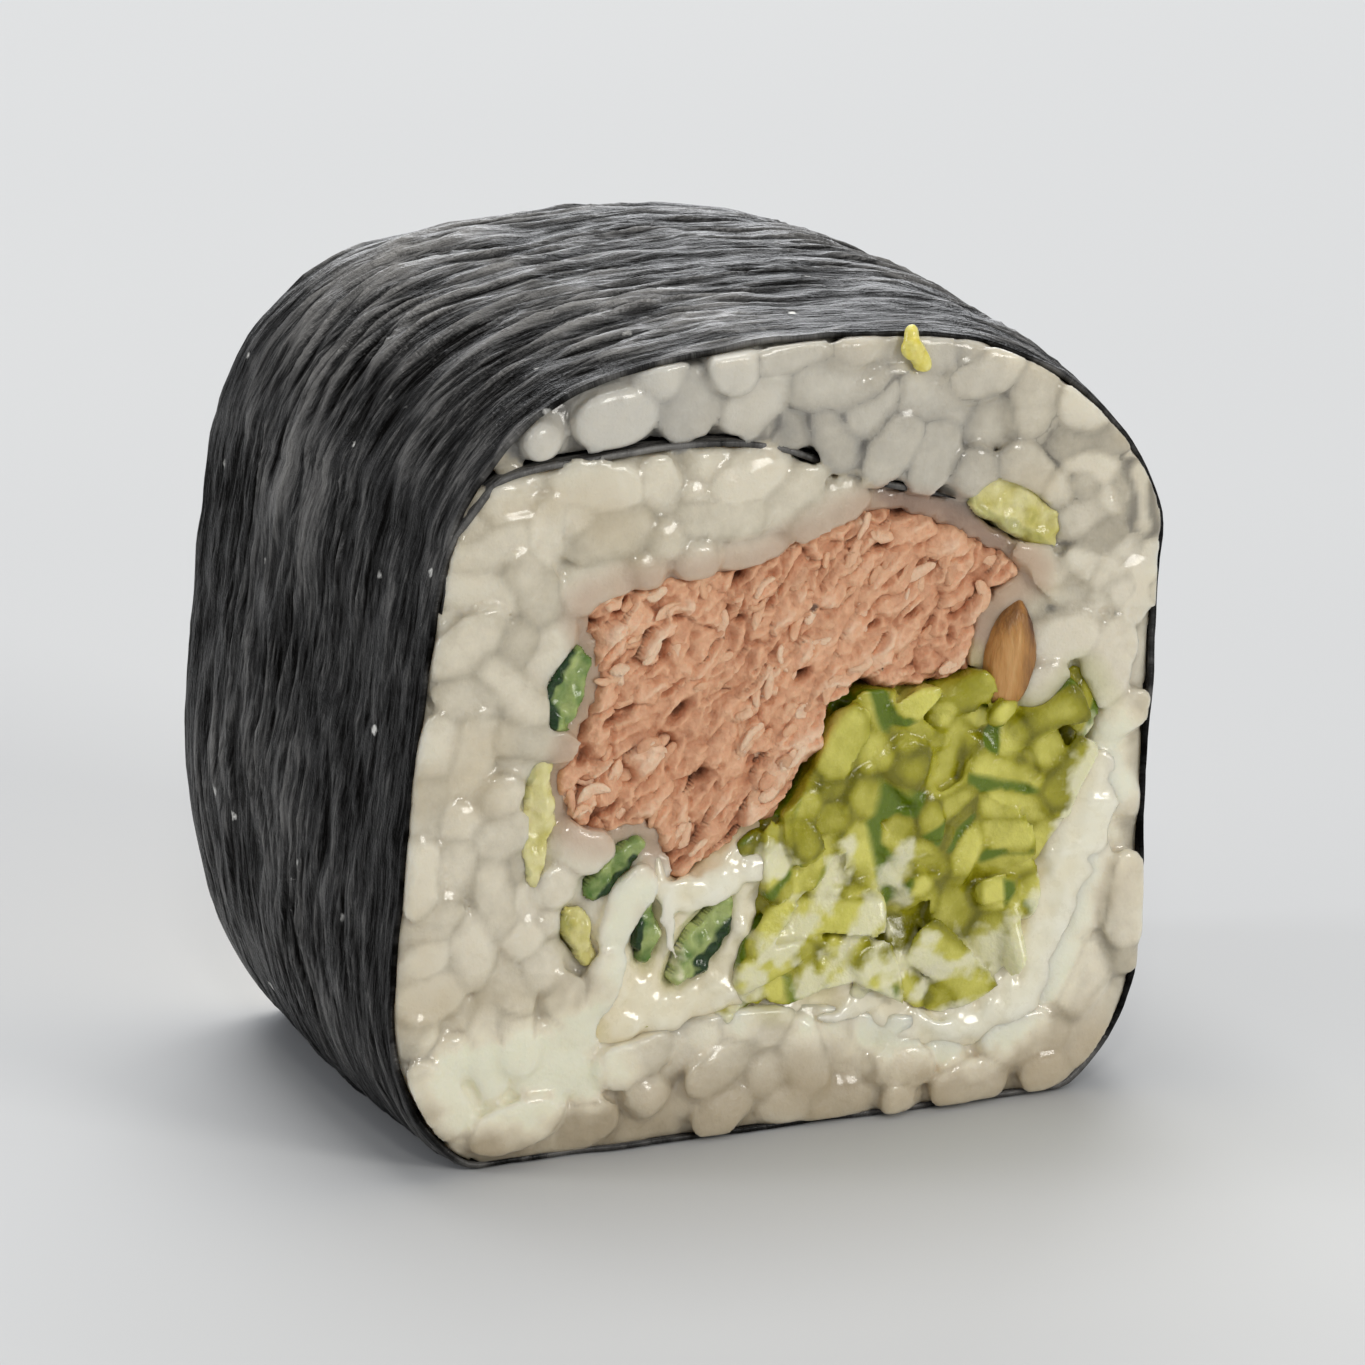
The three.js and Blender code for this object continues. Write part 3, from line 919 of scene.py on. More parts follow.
@dataclass
class Rods:
    """Short rods near the front cut. A middle is (x, depth behind the cut, z)."""

    middle: Array
    way: Array
    half: Array
    radius: Array

    @classmethod
    def planned(cls, plans: Sequence[RodPlan]) -> "Rods":
        """Lay rods in known places."""
        return cls(np.array([plan.middle() for plan in plans]), np.array([plan.way() for plan in plans]),
                   np.array([plan.half for plan in plans]), np.array([plan.radius for plan in plans]))

    def joined(self, other: "Rods") -> "Rods":
        """These rods and others."""
        return Rods(np.vstack([self.middle, other.middle]), np.vstack([self.way, other.way]),
                    np.concatenate([self.half, other.half]), np.concatenate([self.radius, other.radius]))

    def nearest(self, points: Array) -> tuple[Index, Array, Array]:
        """Find the rod that each point belongs to.

        Args:
            points: Places on the front face, in space.

        Returns:
            Each point's rod, its distance in radii, and how much further away the next rod is.
        """
        spots = points + np.array([0.0, HALF_LENGTH, 0.0])
        own = np.zeros(len(spots), dtype=np.int64)
        near, next_near = np.full(len(spots), np.inf), np.full(len(spots), np.inf)
        for row in range(len(self.middle)):
            offset = spots - self.middle[row]
            run = np.clip(offset @ self.way[row], -self.half[row], self.half[row])
            gap = np.linalg.norm(offset - run[:, None] * self.way[row], axis=1) / self.radius[row]
            closer = gap < near
            next_near = np.where(closer, near, np.minimum(next_near, gap))
            own[closer], near[closer] = row, gap[closer]
        return own, near, next_near - near


@dataclass
class Packing:
    """Short rods shaken into a region of the cut until they lie side by side."""

    region: DistanceMap
    count: int
    length: Pair
    radius: Pair
    depth: Pair
    seed: int
    give: float = 0.3
    rounds: int = 130
    lean: float = 1.0
    wall: float = 0.7
    fixed: tuple[RodPlan, ...] = ()

    PRESS: ClassVar[float] = 0.35
    WALL_PRESS: ClassVar[float] = 0.7
    DEPTH_PRESS: ClassVar[float] = 0.5
    SWING: ClassVar[float] = 0.5
    STRIDE: ClassVar[float] = 0.7
    SHAKE: ClassVar[float] = 0.12
    CALM: ClassVar[float] = 1.6
    TRIES: ClassVar[int] = 12

    def settled(self) -> Rods:
        """Shake the rods.

        Returns:
            The rods where they came to rest, the fixed ones first.
        """
        rng = np.random.default_rng(self.seed)
        middle = self._spread(rng)
        way = unit(rng.normal(size=(self.count, 3)) * np.array([1.0, self.lean, 1.0]))
        radius = rng.uniform(*self.radius, self.count)
        half = rng.uniform(*self.length, self.count) / 2 - radius
        held = len(self.fixed)
        for row, plan in enumerate(self.fixed):
            middle[row], way[row] = plan.middle(), plan.way()
            half[row], radius[row] = plan.half, plan.radius
        marks = np.array([-1.0, 0.0, 1.0])
        owner = np.repeat(np.arange(self.count), 3)
        apart = owner[:, None] != owner[None, :]
        reach = radius[owner][:, None] + radius[owner][None, :] - self.give
        for turn in range(self.rounds):
            knots = (middle[:, None] + way[:, None] * (half[:, None] * marks)[..., None]).reshape(-1, 3)
            gap = knots[:, None] - knots[None, :]
            distance = np.sqrt(np.sum(gap * gap, axis=-1)) + 1e-6
            press = np.where(apart, np.maximum(reach - distance, 0.0), 0.0)
            shift = np.sum(gap * (press / distance)[..., None], axis=1) * self.PRESS
            places = knots[:, CUT]
            room = self.region.at(places) - radius[owner] * self.wall
            shift[:, CUT] += self.region.slope(places) * (np.maximum(-room, 0.0) * self.WALL_PRESS)[:, None]
            shallow, deep = self.depth[0] - knots[:, 1], knots[:, 1] - self.depth[1]
            shift[:, 1] += np.maximum(shallow, 0) * self.DEPTH_PRESS - np.maximum(deep, 0) * self.DEPTH_PRESS
            shift = shift.reshape(-1, 3, 3)
            shake = self.SHAKE * max(0.0, 1 - self.CALM * turn / self.rounds)
            jitter = rng.normal(scale=shake, size=middle.shape)
            move = np.clip(shift.mean(axis=1) + jitter, -self.STRIDE, self.STRIDE)
            swing = (shift[:, 2] - shift[:, 0]) / (2 * np.maximum(half, 0.3))[:, None] * self.SWING
            move[:held], swing[:held] = 0, 0
            middle, way = middle + move, unit(way + swing)
        return Rods(middle, way, half, radius)

    def _spread(self, rng: np.random.Generator) -> Array:
        """Draw starting middles in the region, away from one another.

        Args:
            rng: Source of the draws.

        Returns:
            One (x, depth, z) row for each rod.
        """
        xs, zs = DistanceMap.grid()
        room = self.region.values > self.radius[0] * 0.6
        choices = np.column_stack([xs[room], zs[room]])
        picked = np.zeros((0, 3))
        for _ in range(self.count):
            spots = choices[rng.integers(len(choices), size=self.TRIES)]
            spots = spots + rng.uniform(-0.1, 0.1, (self.TRIES, 2))
            tries = np.column_stack([spots[:, 0], rng.uniform(*self.depth, self.TRIES), spots[:, 1]])
            if len(picked):
                near = np.linalg.norm(tries[:, None] - picked[None, :], axis=-1).min(axis=1)
                tries = tries[np.argsort(-near)]
            picked = np.vstack([picked, tries[:1]])
        return picked


def sliced(depth: Array, offset: float | Array, soft: float) -> Array:
    """Press depths that lie before a cut back to it, with a soft edge, as the knife leaves them."""
    over = depth - offset
    return offset + 0.5 * (over + np.sqrt(over * over + soft * soft)) - 0.25 * soft + 0.03 * np.minimum(over, 0)


# -- Finishes ----------------------------------------


Socket = bpy.types.NodeSocket


class ShaderBoard:
    """A material's nodes, put together by name."""

    def __init__(self, name: str) -> None:
        """Start a material with its shader and object coordinates.

        Args:
            name: Its name.
        """
        self.material = bpy.data.materials.new(name)
        self.material.use_nodes = True
        self.tree = self.material.node_tree
        self.shader = self.tree.nodes["Principled BSDF"]
        self.place = self.tree.nodes.new("ShaderNodeTexCoord").outputs["Object"]

    def node(self, kind: str, **inputs: object) -> bpy.types.Node:
        """Add a node.

        Args:
            kind: Blender's name for the node, without its prefix.
            inputs: Values or sockets for its inputs, by name with _ for a space.

        Returns:
            The node.
        """
        made = self.tree.nodes.new("ShaderNode" + kind)
        for name, value in inputs.items():
            self.feed(made.inputs[name.replace("_", " ")], value)
        return made

    def feed(self, socket: Socket, value: object) -> None:
        """Set a socket to a value, or link it to another socket.

        Args:
            socket: The socket.
            value: Its value, or the socket that it takes it from.
        """
        if isinstance(value, Socket):
            self.tree.links.new(value, socket)
        else:
            socket.default_value = value

    def dress(self, **inputs: object) -> None:
        """Set or link the shader's own sockets, by name with _ for a space."""
        for name, value in inputs.items():
            self.feed(self.shader.inputs[name.replace("_", " ")], value)

    def mark(self, name: str) -> Socket:
        """Read a number that the mesh carries on its points.

        Args:
            name: The mark's name.

        Returns:
            The number.
        """
        made = self.tree.nodes.new("ShaderNodeAttribute")
        made.attribute_name = name
        return made.outputs["Fac"]

    def noise(self, scale: float | Spot, detail: float = 3.0, rough: float = 0.55,
              spot: Socket | None = None) -> Socket:
        """Add cloudy noise.

        Args:
            scale: Bumps in a unit, or one number for each axis.
            detail: Layers of finer noise.
            rough: Strength of the finer layers.
            spot: Coordinates, the object's own if left out.

        Returns:
            The noise, from 0 to 1.
        """
        spot = spot or self.place
        if isinstance(scale, tuple):
            spot, scale = self.node("Mapping", Vector=spot, Scale=scale).outputs["Vector"], 1.0
        return self.node("TexNoise", Vector=spot, Scale=scale, Detail=detail, Roughness=rough).outputs["Fac"]

    def cells(self, scale: float) -> Socket:
        """Add cell distances, for specks."""
        return self.node("TexVoronoi", Vector=self.place, Scale=scale).outputs["Distance"]

    def ramp(self, value: Socket, stops: Sequence[tuple[float, Colour]]) -> Socket:
        """Turn a number into a colour.

        Args:
            value: The number.
            stops: Place and screen colour of each stop, in order.

        Returns:
            The colour.
        """
        made = self.node("ValToRGB", Fac=value)
        stops_held = made.color_ramp.elements
        while len(stops_held) < len(stops):
            stops_held.new(0.5)
        for held, (spot, colour) in zip(stops_held, stops):
            held.position, held.color = spot, linear(colour)
        return made.outputs["Color"]

    def ranged(self, value: Socket, low: float, high: float,
               to_low: float = 0.0, to_high: float = 1.0) -> Socket:
        """Move a number from one range to another, held at its ends."""
        ends = {"From_Min": low, "From_Max": high, "To_Min": to_low, "To_Max": to_high}
        return self.node("MapRange", Value=value, **ends).outputs["Result"]

    def mixed(self, share: Socket, first: object, second: object, kind: str = "RGBA") -> Socket:
        """Mix two colours, or two numbers.

        Args:
            share: How much of the second one shows.
            first: Colour or socket.
            second: Colour or socket.
            kind: RGBA for colours, VALUE for numbers.

        Returns:
            The mixed colour or number.
        """
        made = self.tree.nodes.new("ShaderNodeMix")
        made.data_type = "FLOAT" if kind == "VALUE" else kind
        self.feed(made.inputs["Factor"], share)
        for name, value in (("A", first), ("B", second)):
            socket = next(s for s in made.inputs if s.name == name and s.type == kind)
            self.feed(socket, linear(value) if isinstance(value, tuple) else value)
        return next(s for s in made.outputs if s.type == kind)

    def worked(self, operation: str, *values: object) -> Socket:
        """Work out a number from others.

        Args:
            operation: Blender's name for the sum.
            values: Numbers or sockets, in order.

        Returns:
            The number.
        """
        made = self.tree.nodes.new("ShaderNodeMath")
        made.operation = operation
        for socket, value in zip(made.inputs, values):
            self.feed(socket, value)
        return made.outputs["Value"]

    def sum(self, first: Socket, *others: tuple[Socket, float]) -> Socket:
        """Add shares of other numbers to the first."""
        return reduce(lambda total, other: self.worked("MULTIPLY_ADD", *other, total), others, first)

    def bumped(self, height: Socket, depth_mm: float, strength: float = 1.0) -> None:
        """Give the shader a bump, from a height and how far a height of 1 stands out."""
        made = self.node("Bump", Height=height, Strength=strength, Distance=depth_mm * MM)
        self.feed(self.shader.inputs["Normal"], made.outputs["Normal"])


@dataclass(frozen=True)
class NoriFinish:
    """Dry pressed seaweed: near black, fibrous, with a satin sheen, and paler ridge tops that are partly worn
    and partly a painted highlight.
    """

    dark: Colour = (5, 4, 3)
    green: Colour = (15, 13, 11)
    worn_and_lit: Colour = (94, 92, 89)
    bare_and_lit: Colour = (124, 122, 118)
    dust_and_glints: Colour = (238, 236, 230)
    roughness: Pair = (0.24, 0.5)
    sheen: Pair = (0.04, 0.95)

    def material(self) -> bpy.types.Material:
        """Put the finish together.

        Returns:
            The material.
        """
        board = ShaderBoard("nori")
        crest, flap = board.mark("crest"), board.mark("flap")
        weaves = zip(self._weave(board, "along"), self._weave(board, "twin"))
        fibre, fine, patches, grain = (board.mixed(flap, *pair, "VALUE") for pair in weaves)
        # The crest mark lightens the ridge tops: partly wear, partly a painted highlight where the crinkles
        # catch light.
        level = board.ranged(board.sum(fibre, (fine, 0.9), (patches, 0.45), (crest, 0.75)), 1.2, 2.1)
        body = board.ramp(level, [(0.0, self.dark), (0.32, self.green), (0.72, self.worn_and_lit), (1.0, self.bare_and_lit)])
        # Rare pale specks: partly dust, partly painted glints.
        rare = board.ranged(board.noise(170.0, 2.0), 0.53, 0.6)
        ragged = board.sum(board.cells(430.0), (board.noise(2600.0, 2.0), 0.24))
        specks = board.worked("MULTIPLY", board.ranged(ragged, 0.18, 0.25, 1.0, 0.0), rare)
        board.dress(
            Base_Color=board.mixed(specks, body, self.dust_and_glints),
            Roughness=board.ranged(board.sum(fibre, (grain, 0.5)), 0.45, 1.05, *self.roughness),
            Specular_IOR_Level=board.ranged(level, 0.0, 0.65, *self.sheen),
            IOR=1.4,
        )
        board.bumped(board.sum(fibre, (fine, 0.6), (grain, 0.45)), 0.3)
        return board.material

    @staticmethod
    def _weave(board: ShaderBoard, along: str) -> tuple[Socket, ...]:
        """Lay the sheet's fibres, fine fibres, patches and grain.

        Args:
            board: The material in the making.
            along: Mark that gives the distance round the sheet.

        Returns:
            The four noises, in that order.
        """
        spot = board.node("CombineXYZ", X=board.mark(along), Y=board.mark("across")).outputs["Vector"]
        kinds = (
            ((0.16, 2.2, 1.0), 4.0), ((0.8, 6.0, 1.0), 3.0), ((0.11, 0.16, 1.0), 3.0), ((4.5, 4.5, 1.0), 2.0),
        )
        return tuple(board.noise(scale, detail, 0.6, spot) for scale, detail in kinds)


@dataclass(frozen=True)
class RiceFinish:
    """Cooked rice: pearly and moist, chalkier at the heart of a grain than at its rim, with painted shade in
    the seams between grains.
    """

    rim: Colour = (146, 139, 124)
    pale: Colour = (198, 189, 168)
    heart: Colour = (236, 228, 208)
    warm: Colour = (206, 188, 152)
    cream: Colour = (255, 246, 222)
    cool: Colour = (186, 188, 190)
    gap: Colour = (62, 58, 52)
    foot_shade_tint: Colour = (178, 156, 122)
    pink: Colour = (190, 152, 126)
    green: Colour = (196, 194, 132)
    roughness: Pair = (0.28, 0.5)

    def material(self) -> bpy.types.Material:
        """Put the finish together.

        Returns:
            The material.
        """
        board = ShaderBoard("rice")
        tone, core, seam = (board.mark(name) for name in ("tone", "core", "seam"))
        cloud, mottle = board.noise(420.0, 3.0, 0.5), board.noise(1300.0, 3.0, 0.6)
        # The seam mark pulls the colour towards the rim stop: painted shade between the grains.
        level = board.ranged(board.sum(tone, (core, 0.5), (cloud, 0.5), (mottle, 0.6), (seam, -0.4)), 0.3, 1.6)
        colour = board.ramp(level, [(0.0, self.rim), (0.5, self.pale), (1.0, self.heart)])

        def clouded(mark: str, share: float, *span: float) -> Socket:
            """A mark with a cloudy edge, moved from one range to another."""
            return board.ranged(board.sum(board.mark(mark), (cloud, share)), *span)

        stains = (
            (board.ranged(board.noise(150.0, 2.0), 0.5, 0.75, 0.05, 0.6), self.warm),
            # Darker and warmer towards the underside: painted shade and painted warm light reflected from
            # below.
            (clouded("foot", 0.5, 0.5, 1.4, 0.0, 0.55), self.foot_shade_tint),
            # Lap grains at the top turned cooler grey: partly their greyer tone, partly painted shade for the
            # darker top of the face.
            (board.ranged(board.mark("cool"), 0.0, 1.0, 0.0, 0.45), self.cool),
            # Painted shade deep in the seams between grains.
            (board.ranged(seam, 0.95, 1.6, 0.0, 0.85), self.gap),
            (clouded("by_tuna", 0.5, 0.6, 1.5, 0.0, 0.75), self.pink),
            (clouded("by_shreds", 0.5, 0.6, 1.5, 0.0, 0.6), self.green),
            (clouded("smeared", 0.6, 0.35, 1.25, 0.0, 0.95), self.cream),
        )
        for share, stain in stains:
            colour = board.mixed(share, colour, stain)
        board.dress(
            Base_Color=colour,
            Roughness=board.ranged(mottle, 0.3, 0.7, *self.roughness),
            Subsurface_Weight=0.8,
            Subsurface_Radius=(1.0, 0.92, 0.8),
            Subsurface_Scale=1.1 * MM,
            IOR=1.42,
            Coat_Weight=0.75,
            Coat_Roughness=0.11,
        )
        board.bumped(board.sum(mottle, (board.noise(3200.0, 2.0, 0.6), 0.6)), 0.14, 0.6)
        return board.material


@dataclass(frozen=True)
class TunaFinish:
    """Cooked flaked tuna: dusty pink, with painted shade in its crevices and paler raised tips."""

    crevice_shade: Colour = (92, 50, 32)
    deep: Colour = (196, 136, 100)
    flesh: Colour = (236, 184, 146)
    pale: Colour = (250, 218, 188)
    pit_shade: Colour = (70, 44, 36)

    def material(self) -> bpy.types.Material:
        """Put the finish together.

        Returns:
            The material.
        """
        board = ShaderBoard("tuna")
        blotch, crumb = board.noise(260.0, 3.0), board.noise(1700.0, 3.0)
        # Colour follows the relief: painted shade in the crevices, painted light on the raised tips.
        level = board.sum(board.ranged(board.mark("relief"), -1.2, 0.3), (blotch, 0.3), (crumb, 0.5))
        flesh = board.ramp(board.ranged(level, 0.3, 1.55),
                           [(0.0, self.crevice_shade), (0.32, self.deep), (0.66, self.flesh), (1.0, self.pale)])
        # Rare small dark dots: painted shade of little pits.
        specks = board.ranged(board.cells(420.0), 0.07, 0.13, 0.85, 0.0)
        rare = board.ranged(board.noise(330.0, 1.0), 0.56, 0.62)
        board.dress(
            Base_Color=board.mixed(board.worked("MULTIPLY", specks, rare), flesh, self.pit_shade),
            Roughness=board.ranged(crumb, 0.3, 0.7, 0.5, 0.72),
            Subsurface_Weight=0.22,
            Subsurface_Radius=(1.0, 0.55, 0.4),
            Subsurface_Scale=0.6 * MM,
            Specular_IOR_Level=0.45,
        )
        board.bumped(board.sum(crumb, (board.noise(3400.0, 2.0), 0.5)), 0.16, 0.8)
        return board.material


@dataclass(frozen=True)
class ShredFinish:
    """Moist cucumber shreds, from pale flesh to dark peel; the bundle's tone mark carries painted shade in the
    gaps between shreds down to the deep stop.
    """

    name: str = "cucumber"
    pale: Colour = (226, 220, 112)
    flesh: Colour = (170, 164, 40)
    deep: Colour = (122, 118, 2)
    peel: Colour = (100, 122, 4)
    milk: Colour = (244, 240, 206)
    roughness: Pair = (0.14, 0.34)

    def material(self) -> bpy.types.Material:
        """Put the finish together.

        Returns:
            The material.
        """
        board = ShaderBoard(self.name)
        cloud, fibre = board.noise(520.0, 3.0), board.noise(1700.0, 3.0, 0.6)
        level = board.ranged(board.sum(board.mark("tone"), (cloud, 0.6), (fibre, 0.3)), 0.15, 1.45)
        flesh = board.ramp(level, [(0.0, self.deep), (0.45, self.flesh), (1.0, self.pale)])
        peeled = board.ranged(board.sum(board.mark("peel"), (cloud, 0.5)), 0.45, 0.95)
        milky = board.ranged(board.sum(board.mark("milky"), (cloud, 0.6), (fibre, 0.3)), 0.6, 1.35, 0.0, 0.85)
        board.dress(
            Base_Color=board.mixed(milky, board.mixed(peeled, flesh, self.peel), self.milk),
            Roughness=board.ranged(fibre, 0.3, 0.7, *self.roughness),
            Subsurface_Weight=0.45,
            Subsurface_Radius=(0.9, 1.0, 0.4),
            Subsurface_Scale=0.6 * MM,
            IOR=1.33,
            Coat_Weight=0.5,
            Coat_Roughness=0.12,
        )
        board.bumped(board.sum(fibre, (cloud, 0.6)), 0.16, 0.8)
        return board.material


@dataclass(frozen=True)
class CheeseFinish:
    """Soft white cheese, smeared by the knife: creamier and greener in its hollows, partly its thinner layer
    and partly painted shade, and whitest on its ridges.
    """

    pale: Colour = (255, 249, 230)
    cream: Colour = (249, 236, 206)
    tinged: Colour = (226, 216, 170)

    def material(self) -> bpy.types.Material:
        """Put the finish together.

        Returns:
            The material.
        """
        board = ShaderBoard("cheese")
        cloud, fine = board.noise(300.0, 4.0), board.noise(1500.0, 3.0)
        # Hollows go to the tinged stop: partly thinner, greener cheese, partly painted shade.
        level = board.sum(board.ranged(board.mark("relief"), -0.9, 0.7), (cloud, 0.6), (fine, 0.3))
        level = board.ranged(level, 0.4, 1.4)
        white = board.ramp(level, [(0.0, self.tinged), (0.4, self.cream), (1.0, self.pale)])
        tinge = board.ranged(board.noise(210.0, 2.0), 0.56, 0.75, 0.0, 0.6)
        board.dress(
            Base_Color=board.mixed(tinge, white, self.tinged),
            Roughness=board.ranged(fine, 0.3, 0.7, 0.18, 0.42),
            Subsurface_Weight=0.5,
            Subsurface_Radius=(1.0, 0.98, 0.94),
            Subsurface_Scale=0.9 * MM,
            Specular_IOR_Level=0.5,
            Coat_Weight=1.0,
            Coat_Roughness=0.1,
        )
        board.bumped(board.sum(cloud, (fine, 0.5)), 0.16, 0.6)
        return board.material


@dataclass(frozen=True)
class SeedFinish:
    """A tan seed, darker towards its top end where a shadow is painted."""

    pale: Colour = (220, 172, 112)
    tan: Colour = (192, 138, 74)
    dark: Colour = (98, 62, 34)

    def material(self) -> bpy.types.Material:
        """Put the finish together.

        Returns:
            The material.
        """
        board = ShaderBoard("seed")
        streak = board.noise((2600.0, 2600.0, 500.0), 3.0, 0.6)
        level = board.ranged(board.sum(board.mark("tone"), (streak, 1.0)), 0.45, 1.6)
        colour = board.ramp(level, [(0.0, self.pale), (0.45, self.tan), (1.0, self.dark)])
        board.dress(
            Base_Color=colour,
            Roughness=board.ranged(streak, 0.3, 0.7, 0.3, 0.45),
            Subsurface_Weight=0.15,
            Subsurface_Scale=0.6 * MM,
            Specular_IOR_Level=0.5,
        )
        board.bumped(streak, 0.2, 0.9)
        return board.material


@dataclass(frozen=True)
class FloorFinish:
    """Plain pale paper."""

    pale: Colour = (206, 207, 207)
    shade: Colour = (200, 201, 202)

    def material(self) -> bpy.types.Material:
        """Put the finish together.

        Returns:
            The material.
        """
        board = ShaderBoard("floor")
        colour = board.ramp(board.noise(5.0, 2.0), [(0.3, self.shade), (0.7, self.pale)])
        board.dress(Base_Color=colour, Roughness=0.85, Specular_IOR_Level=0.2)
        return board.material


# -- Pieces of the roll ----------------------------------------


@dataclass(frozen=True)
class Crinkle:
    """One kind of crinkle in the sheet, and how much its ridges are painted paler, partly as wear and partly as
    a painted highlight.
    """

    size: Pair
    seed: int
    sway: float
    height: float
    crest: float


@dataclass
class NoriSheet:
    """The rolled sheet: its lap under the crown, then once round and over its own start."""

    section: CutSection
    finish: NoriFinish = NoriFinish()
    thickness: float = SHEET_THICKNESS
    step_along: float = 0.62
    step_across: float = 0.15
    coarser: int = 4
    bumps: float = 0.16
    crinkles: tuple[Crinkle, ...] = (
        Crinkle((13.0, 1.7), 5, 1.0, 0.26, 0.5),
        Crinkle((7.0, 0.8), 6, 0.8, 0.2, 0.5),
        Crinkle((4.0, 0.42), 11, 0.6, 0.07, 0.25),
    )
    sways: tuple[Bumps, ...] = ((1.5, (9.0, 6.0), 12), (0.5, (4.0, 3.0), 13))
    grains: tuple[Bumps, ...] = ((1.0, (5.5, 4.2), 7), (0.5, (2.4, 2.0), 8))
    dimples: tuple[Bumps, ...] = ((0.05, (1.5, 0.8), 10),)
    crown: Pair = (22.0, 40.0)
    ragged: float = 0.22
    drawn_back: float = 0.28
    hidden: Pair = (28.0, 33.0)
    end_runs: Pair = (2.5, 4.6)
    end_thinned: float = 0.85
    flap_blend: Pair = (-1.0, 2.6)

    def _relief(self, along: Array, across: Array, up: Array) -> tuple[Array, Array]:
        """How far the rice and its own crinkles push the sheet out.

        Args:
            along: Distance round the sheet of each point.
            across: Distance along the roll of each point.
            up: Height of each point over the underside.

        Returns:
            Height of each point over the sheet's middle, and how much of a crinkle's crest it is.
        """
        spots = np.column_stack([along, across])
        sway = np.column_stack([np.zeros(len(along)), Clouds.mingled(spots, self.sways)])
        strength = np.clip(0.65 + 0.6 * Clouds.smooth(spots, (14.0, 9.0), 9), 0.15, 1.2)
        strength *= 0.85 + 0.45 * smoothstep(up, *self.crown)
        height = self.bumps * (Clouds.mingled(spots, self.grains) + 0.9) + Clouds.mingled(spots, self.dimples)
        crest = np.zeros(len(along))
        for kind in self.crinkles:
            ridge = strength * Clouds.ridged(spots + kind.sway * sway, kind.size, kind.seed)
            height += kind.height * ridge
            crest += kind.crest * ridge
        return height, crest

    def _skin(self, line: Array, rows: int, side: float) -> MeshDraft:
        """Lay one skin of the sheet.

        Args:
            line: The sheet's middle line on the cut.
            rows: Points from cut to cut.
            side: 0.5 for the outer skin, -0.5 for the inner one.

        Returns:
            The skin, with the marks that its finish reads.
        """
        along = unit(np.gradient(line, axis=0))
        out = np.column_stack([along[:, 1], -along[:, 0]])
        run = np.arange(len(line)) * self.step_along
        across = np.linspace(-HALF_LENGTH, HALF_LENGTH, rows)
        grid_run, grid_across = (part.ravel() for part in np.meshgrid(run, across, indexing="ij"))
        index = np.repeat(np.arange(len(line)), rows)
        up = line[index, 1]
        edge = np.abs(grid_across / HALF_LENGTH) ** 6
        wave = Clouds.layered(np.column_stack([grid_run, np.sign(grid_across) * 40]), 5.0, 21, 4)
        first, last = self.end_runs
        end = smoothstep(grid_run, 0.0, first) * smoothstep(run[-1] - grid_run, 0.0, last)
        height, crest = self._relief(grid_run, grid_across, up)
        twin = np.repeat(self._twins(line, run), rows)
        under, under_crest = self._relief(twin, grid_across, up)
        share = smoothstep(grid_run - run[-1] + self.section.flap, *self.flap_blend)
        height, crest = height + share * (under - height), crest + share * (under_crest - crest)
        height *= (1 - 0.5 * edge) * (0.1 + 0.9 * smoothstep(grid_run, *self.hidden))
        thinned = self.thickness * (1 - end) * self.end_thinned if side > 0 else 0.0
        flat = line[index] + out[index] * (height * end + side * self.thickness - thinned)[:, None]
        points = swelled(np.column_stack([flat[:, 0], grid_across, flat[:, 1]]))
        points[:, 1] += (self.ragged * wave - self.drawn_back) * edge * np.sign(grid_across)
        points[:, 2] = self._rested(points[:, 2], 0.0 if side > 0 else self.thickness * 0.8)
        skin = MeshDraft(points, grid_quads(len(line), rows))
        return skin.marked(along=grid_run, across=grid_across, crest=crest, twin=twin, flap=share)

    def _twins(self, line: Array, run: Array) -> Array:
        """Find where the flap lies on the stretch under it, so that both have the same crinkles.

        Args:
            line: The sheet's middle line on the cut.
            run: Distance round the sheet of each of its points.

        Returns:
            The distances, the flap's ones taken from under it.
        """
        twins = run.copy()
        flap = run > run[-1] - self.section.flap - 1.5
        below = (run > self.hidden[0] - 3.0) & (run < self.hidden[1] + 8.0)
        gap = np.linalg.norm(line[flap][:, None] - line[below][None, :], axis=-1)
        twins[flap] = run[below][np.argmin(gap, axis=1)]
        return twins

    def draft(self) -> MeshDraft:
        """Build the sheet: a fine outer skin, a coarser inner one and the edges between them.

        Returns:
            The closed skin.
        """
        line = Outline.resampled(self.section.sheet, self.step_along)
        few = int(round(LENGTH / self.step_across / self.coarser)) + 1
        rows = (few - 1) * self.coarser + 1
        outer, inner = self._skin(line, rows, 0.5), self._skin(line, few, -0.5)
        inner.quads = inner.quads[:, ::-1]
        sheet = MeshDraft.joined([outer, inner])
        top = np.arange(len(line) * rows).reshape(len(line), rows)
        low = top.size + np.arange(len(line) * few).reshape(len(line), few)
        front = np.column_stack([top[:-1, 0], top[1:, 0], low[1:, 0], low[:-1, 0]])
        back = np.column_stack([top[1:, -1], top[:-1, -1], low[:-1, -1], low[1:, -1]])
        sheet.quads = np.vstack([sheet.quads, front, back])
        sheet.tris = np.vstack([self._end(top[0], low[0]), self._end(top[-1], low[-1])[:, ::-1]])
        return sheet

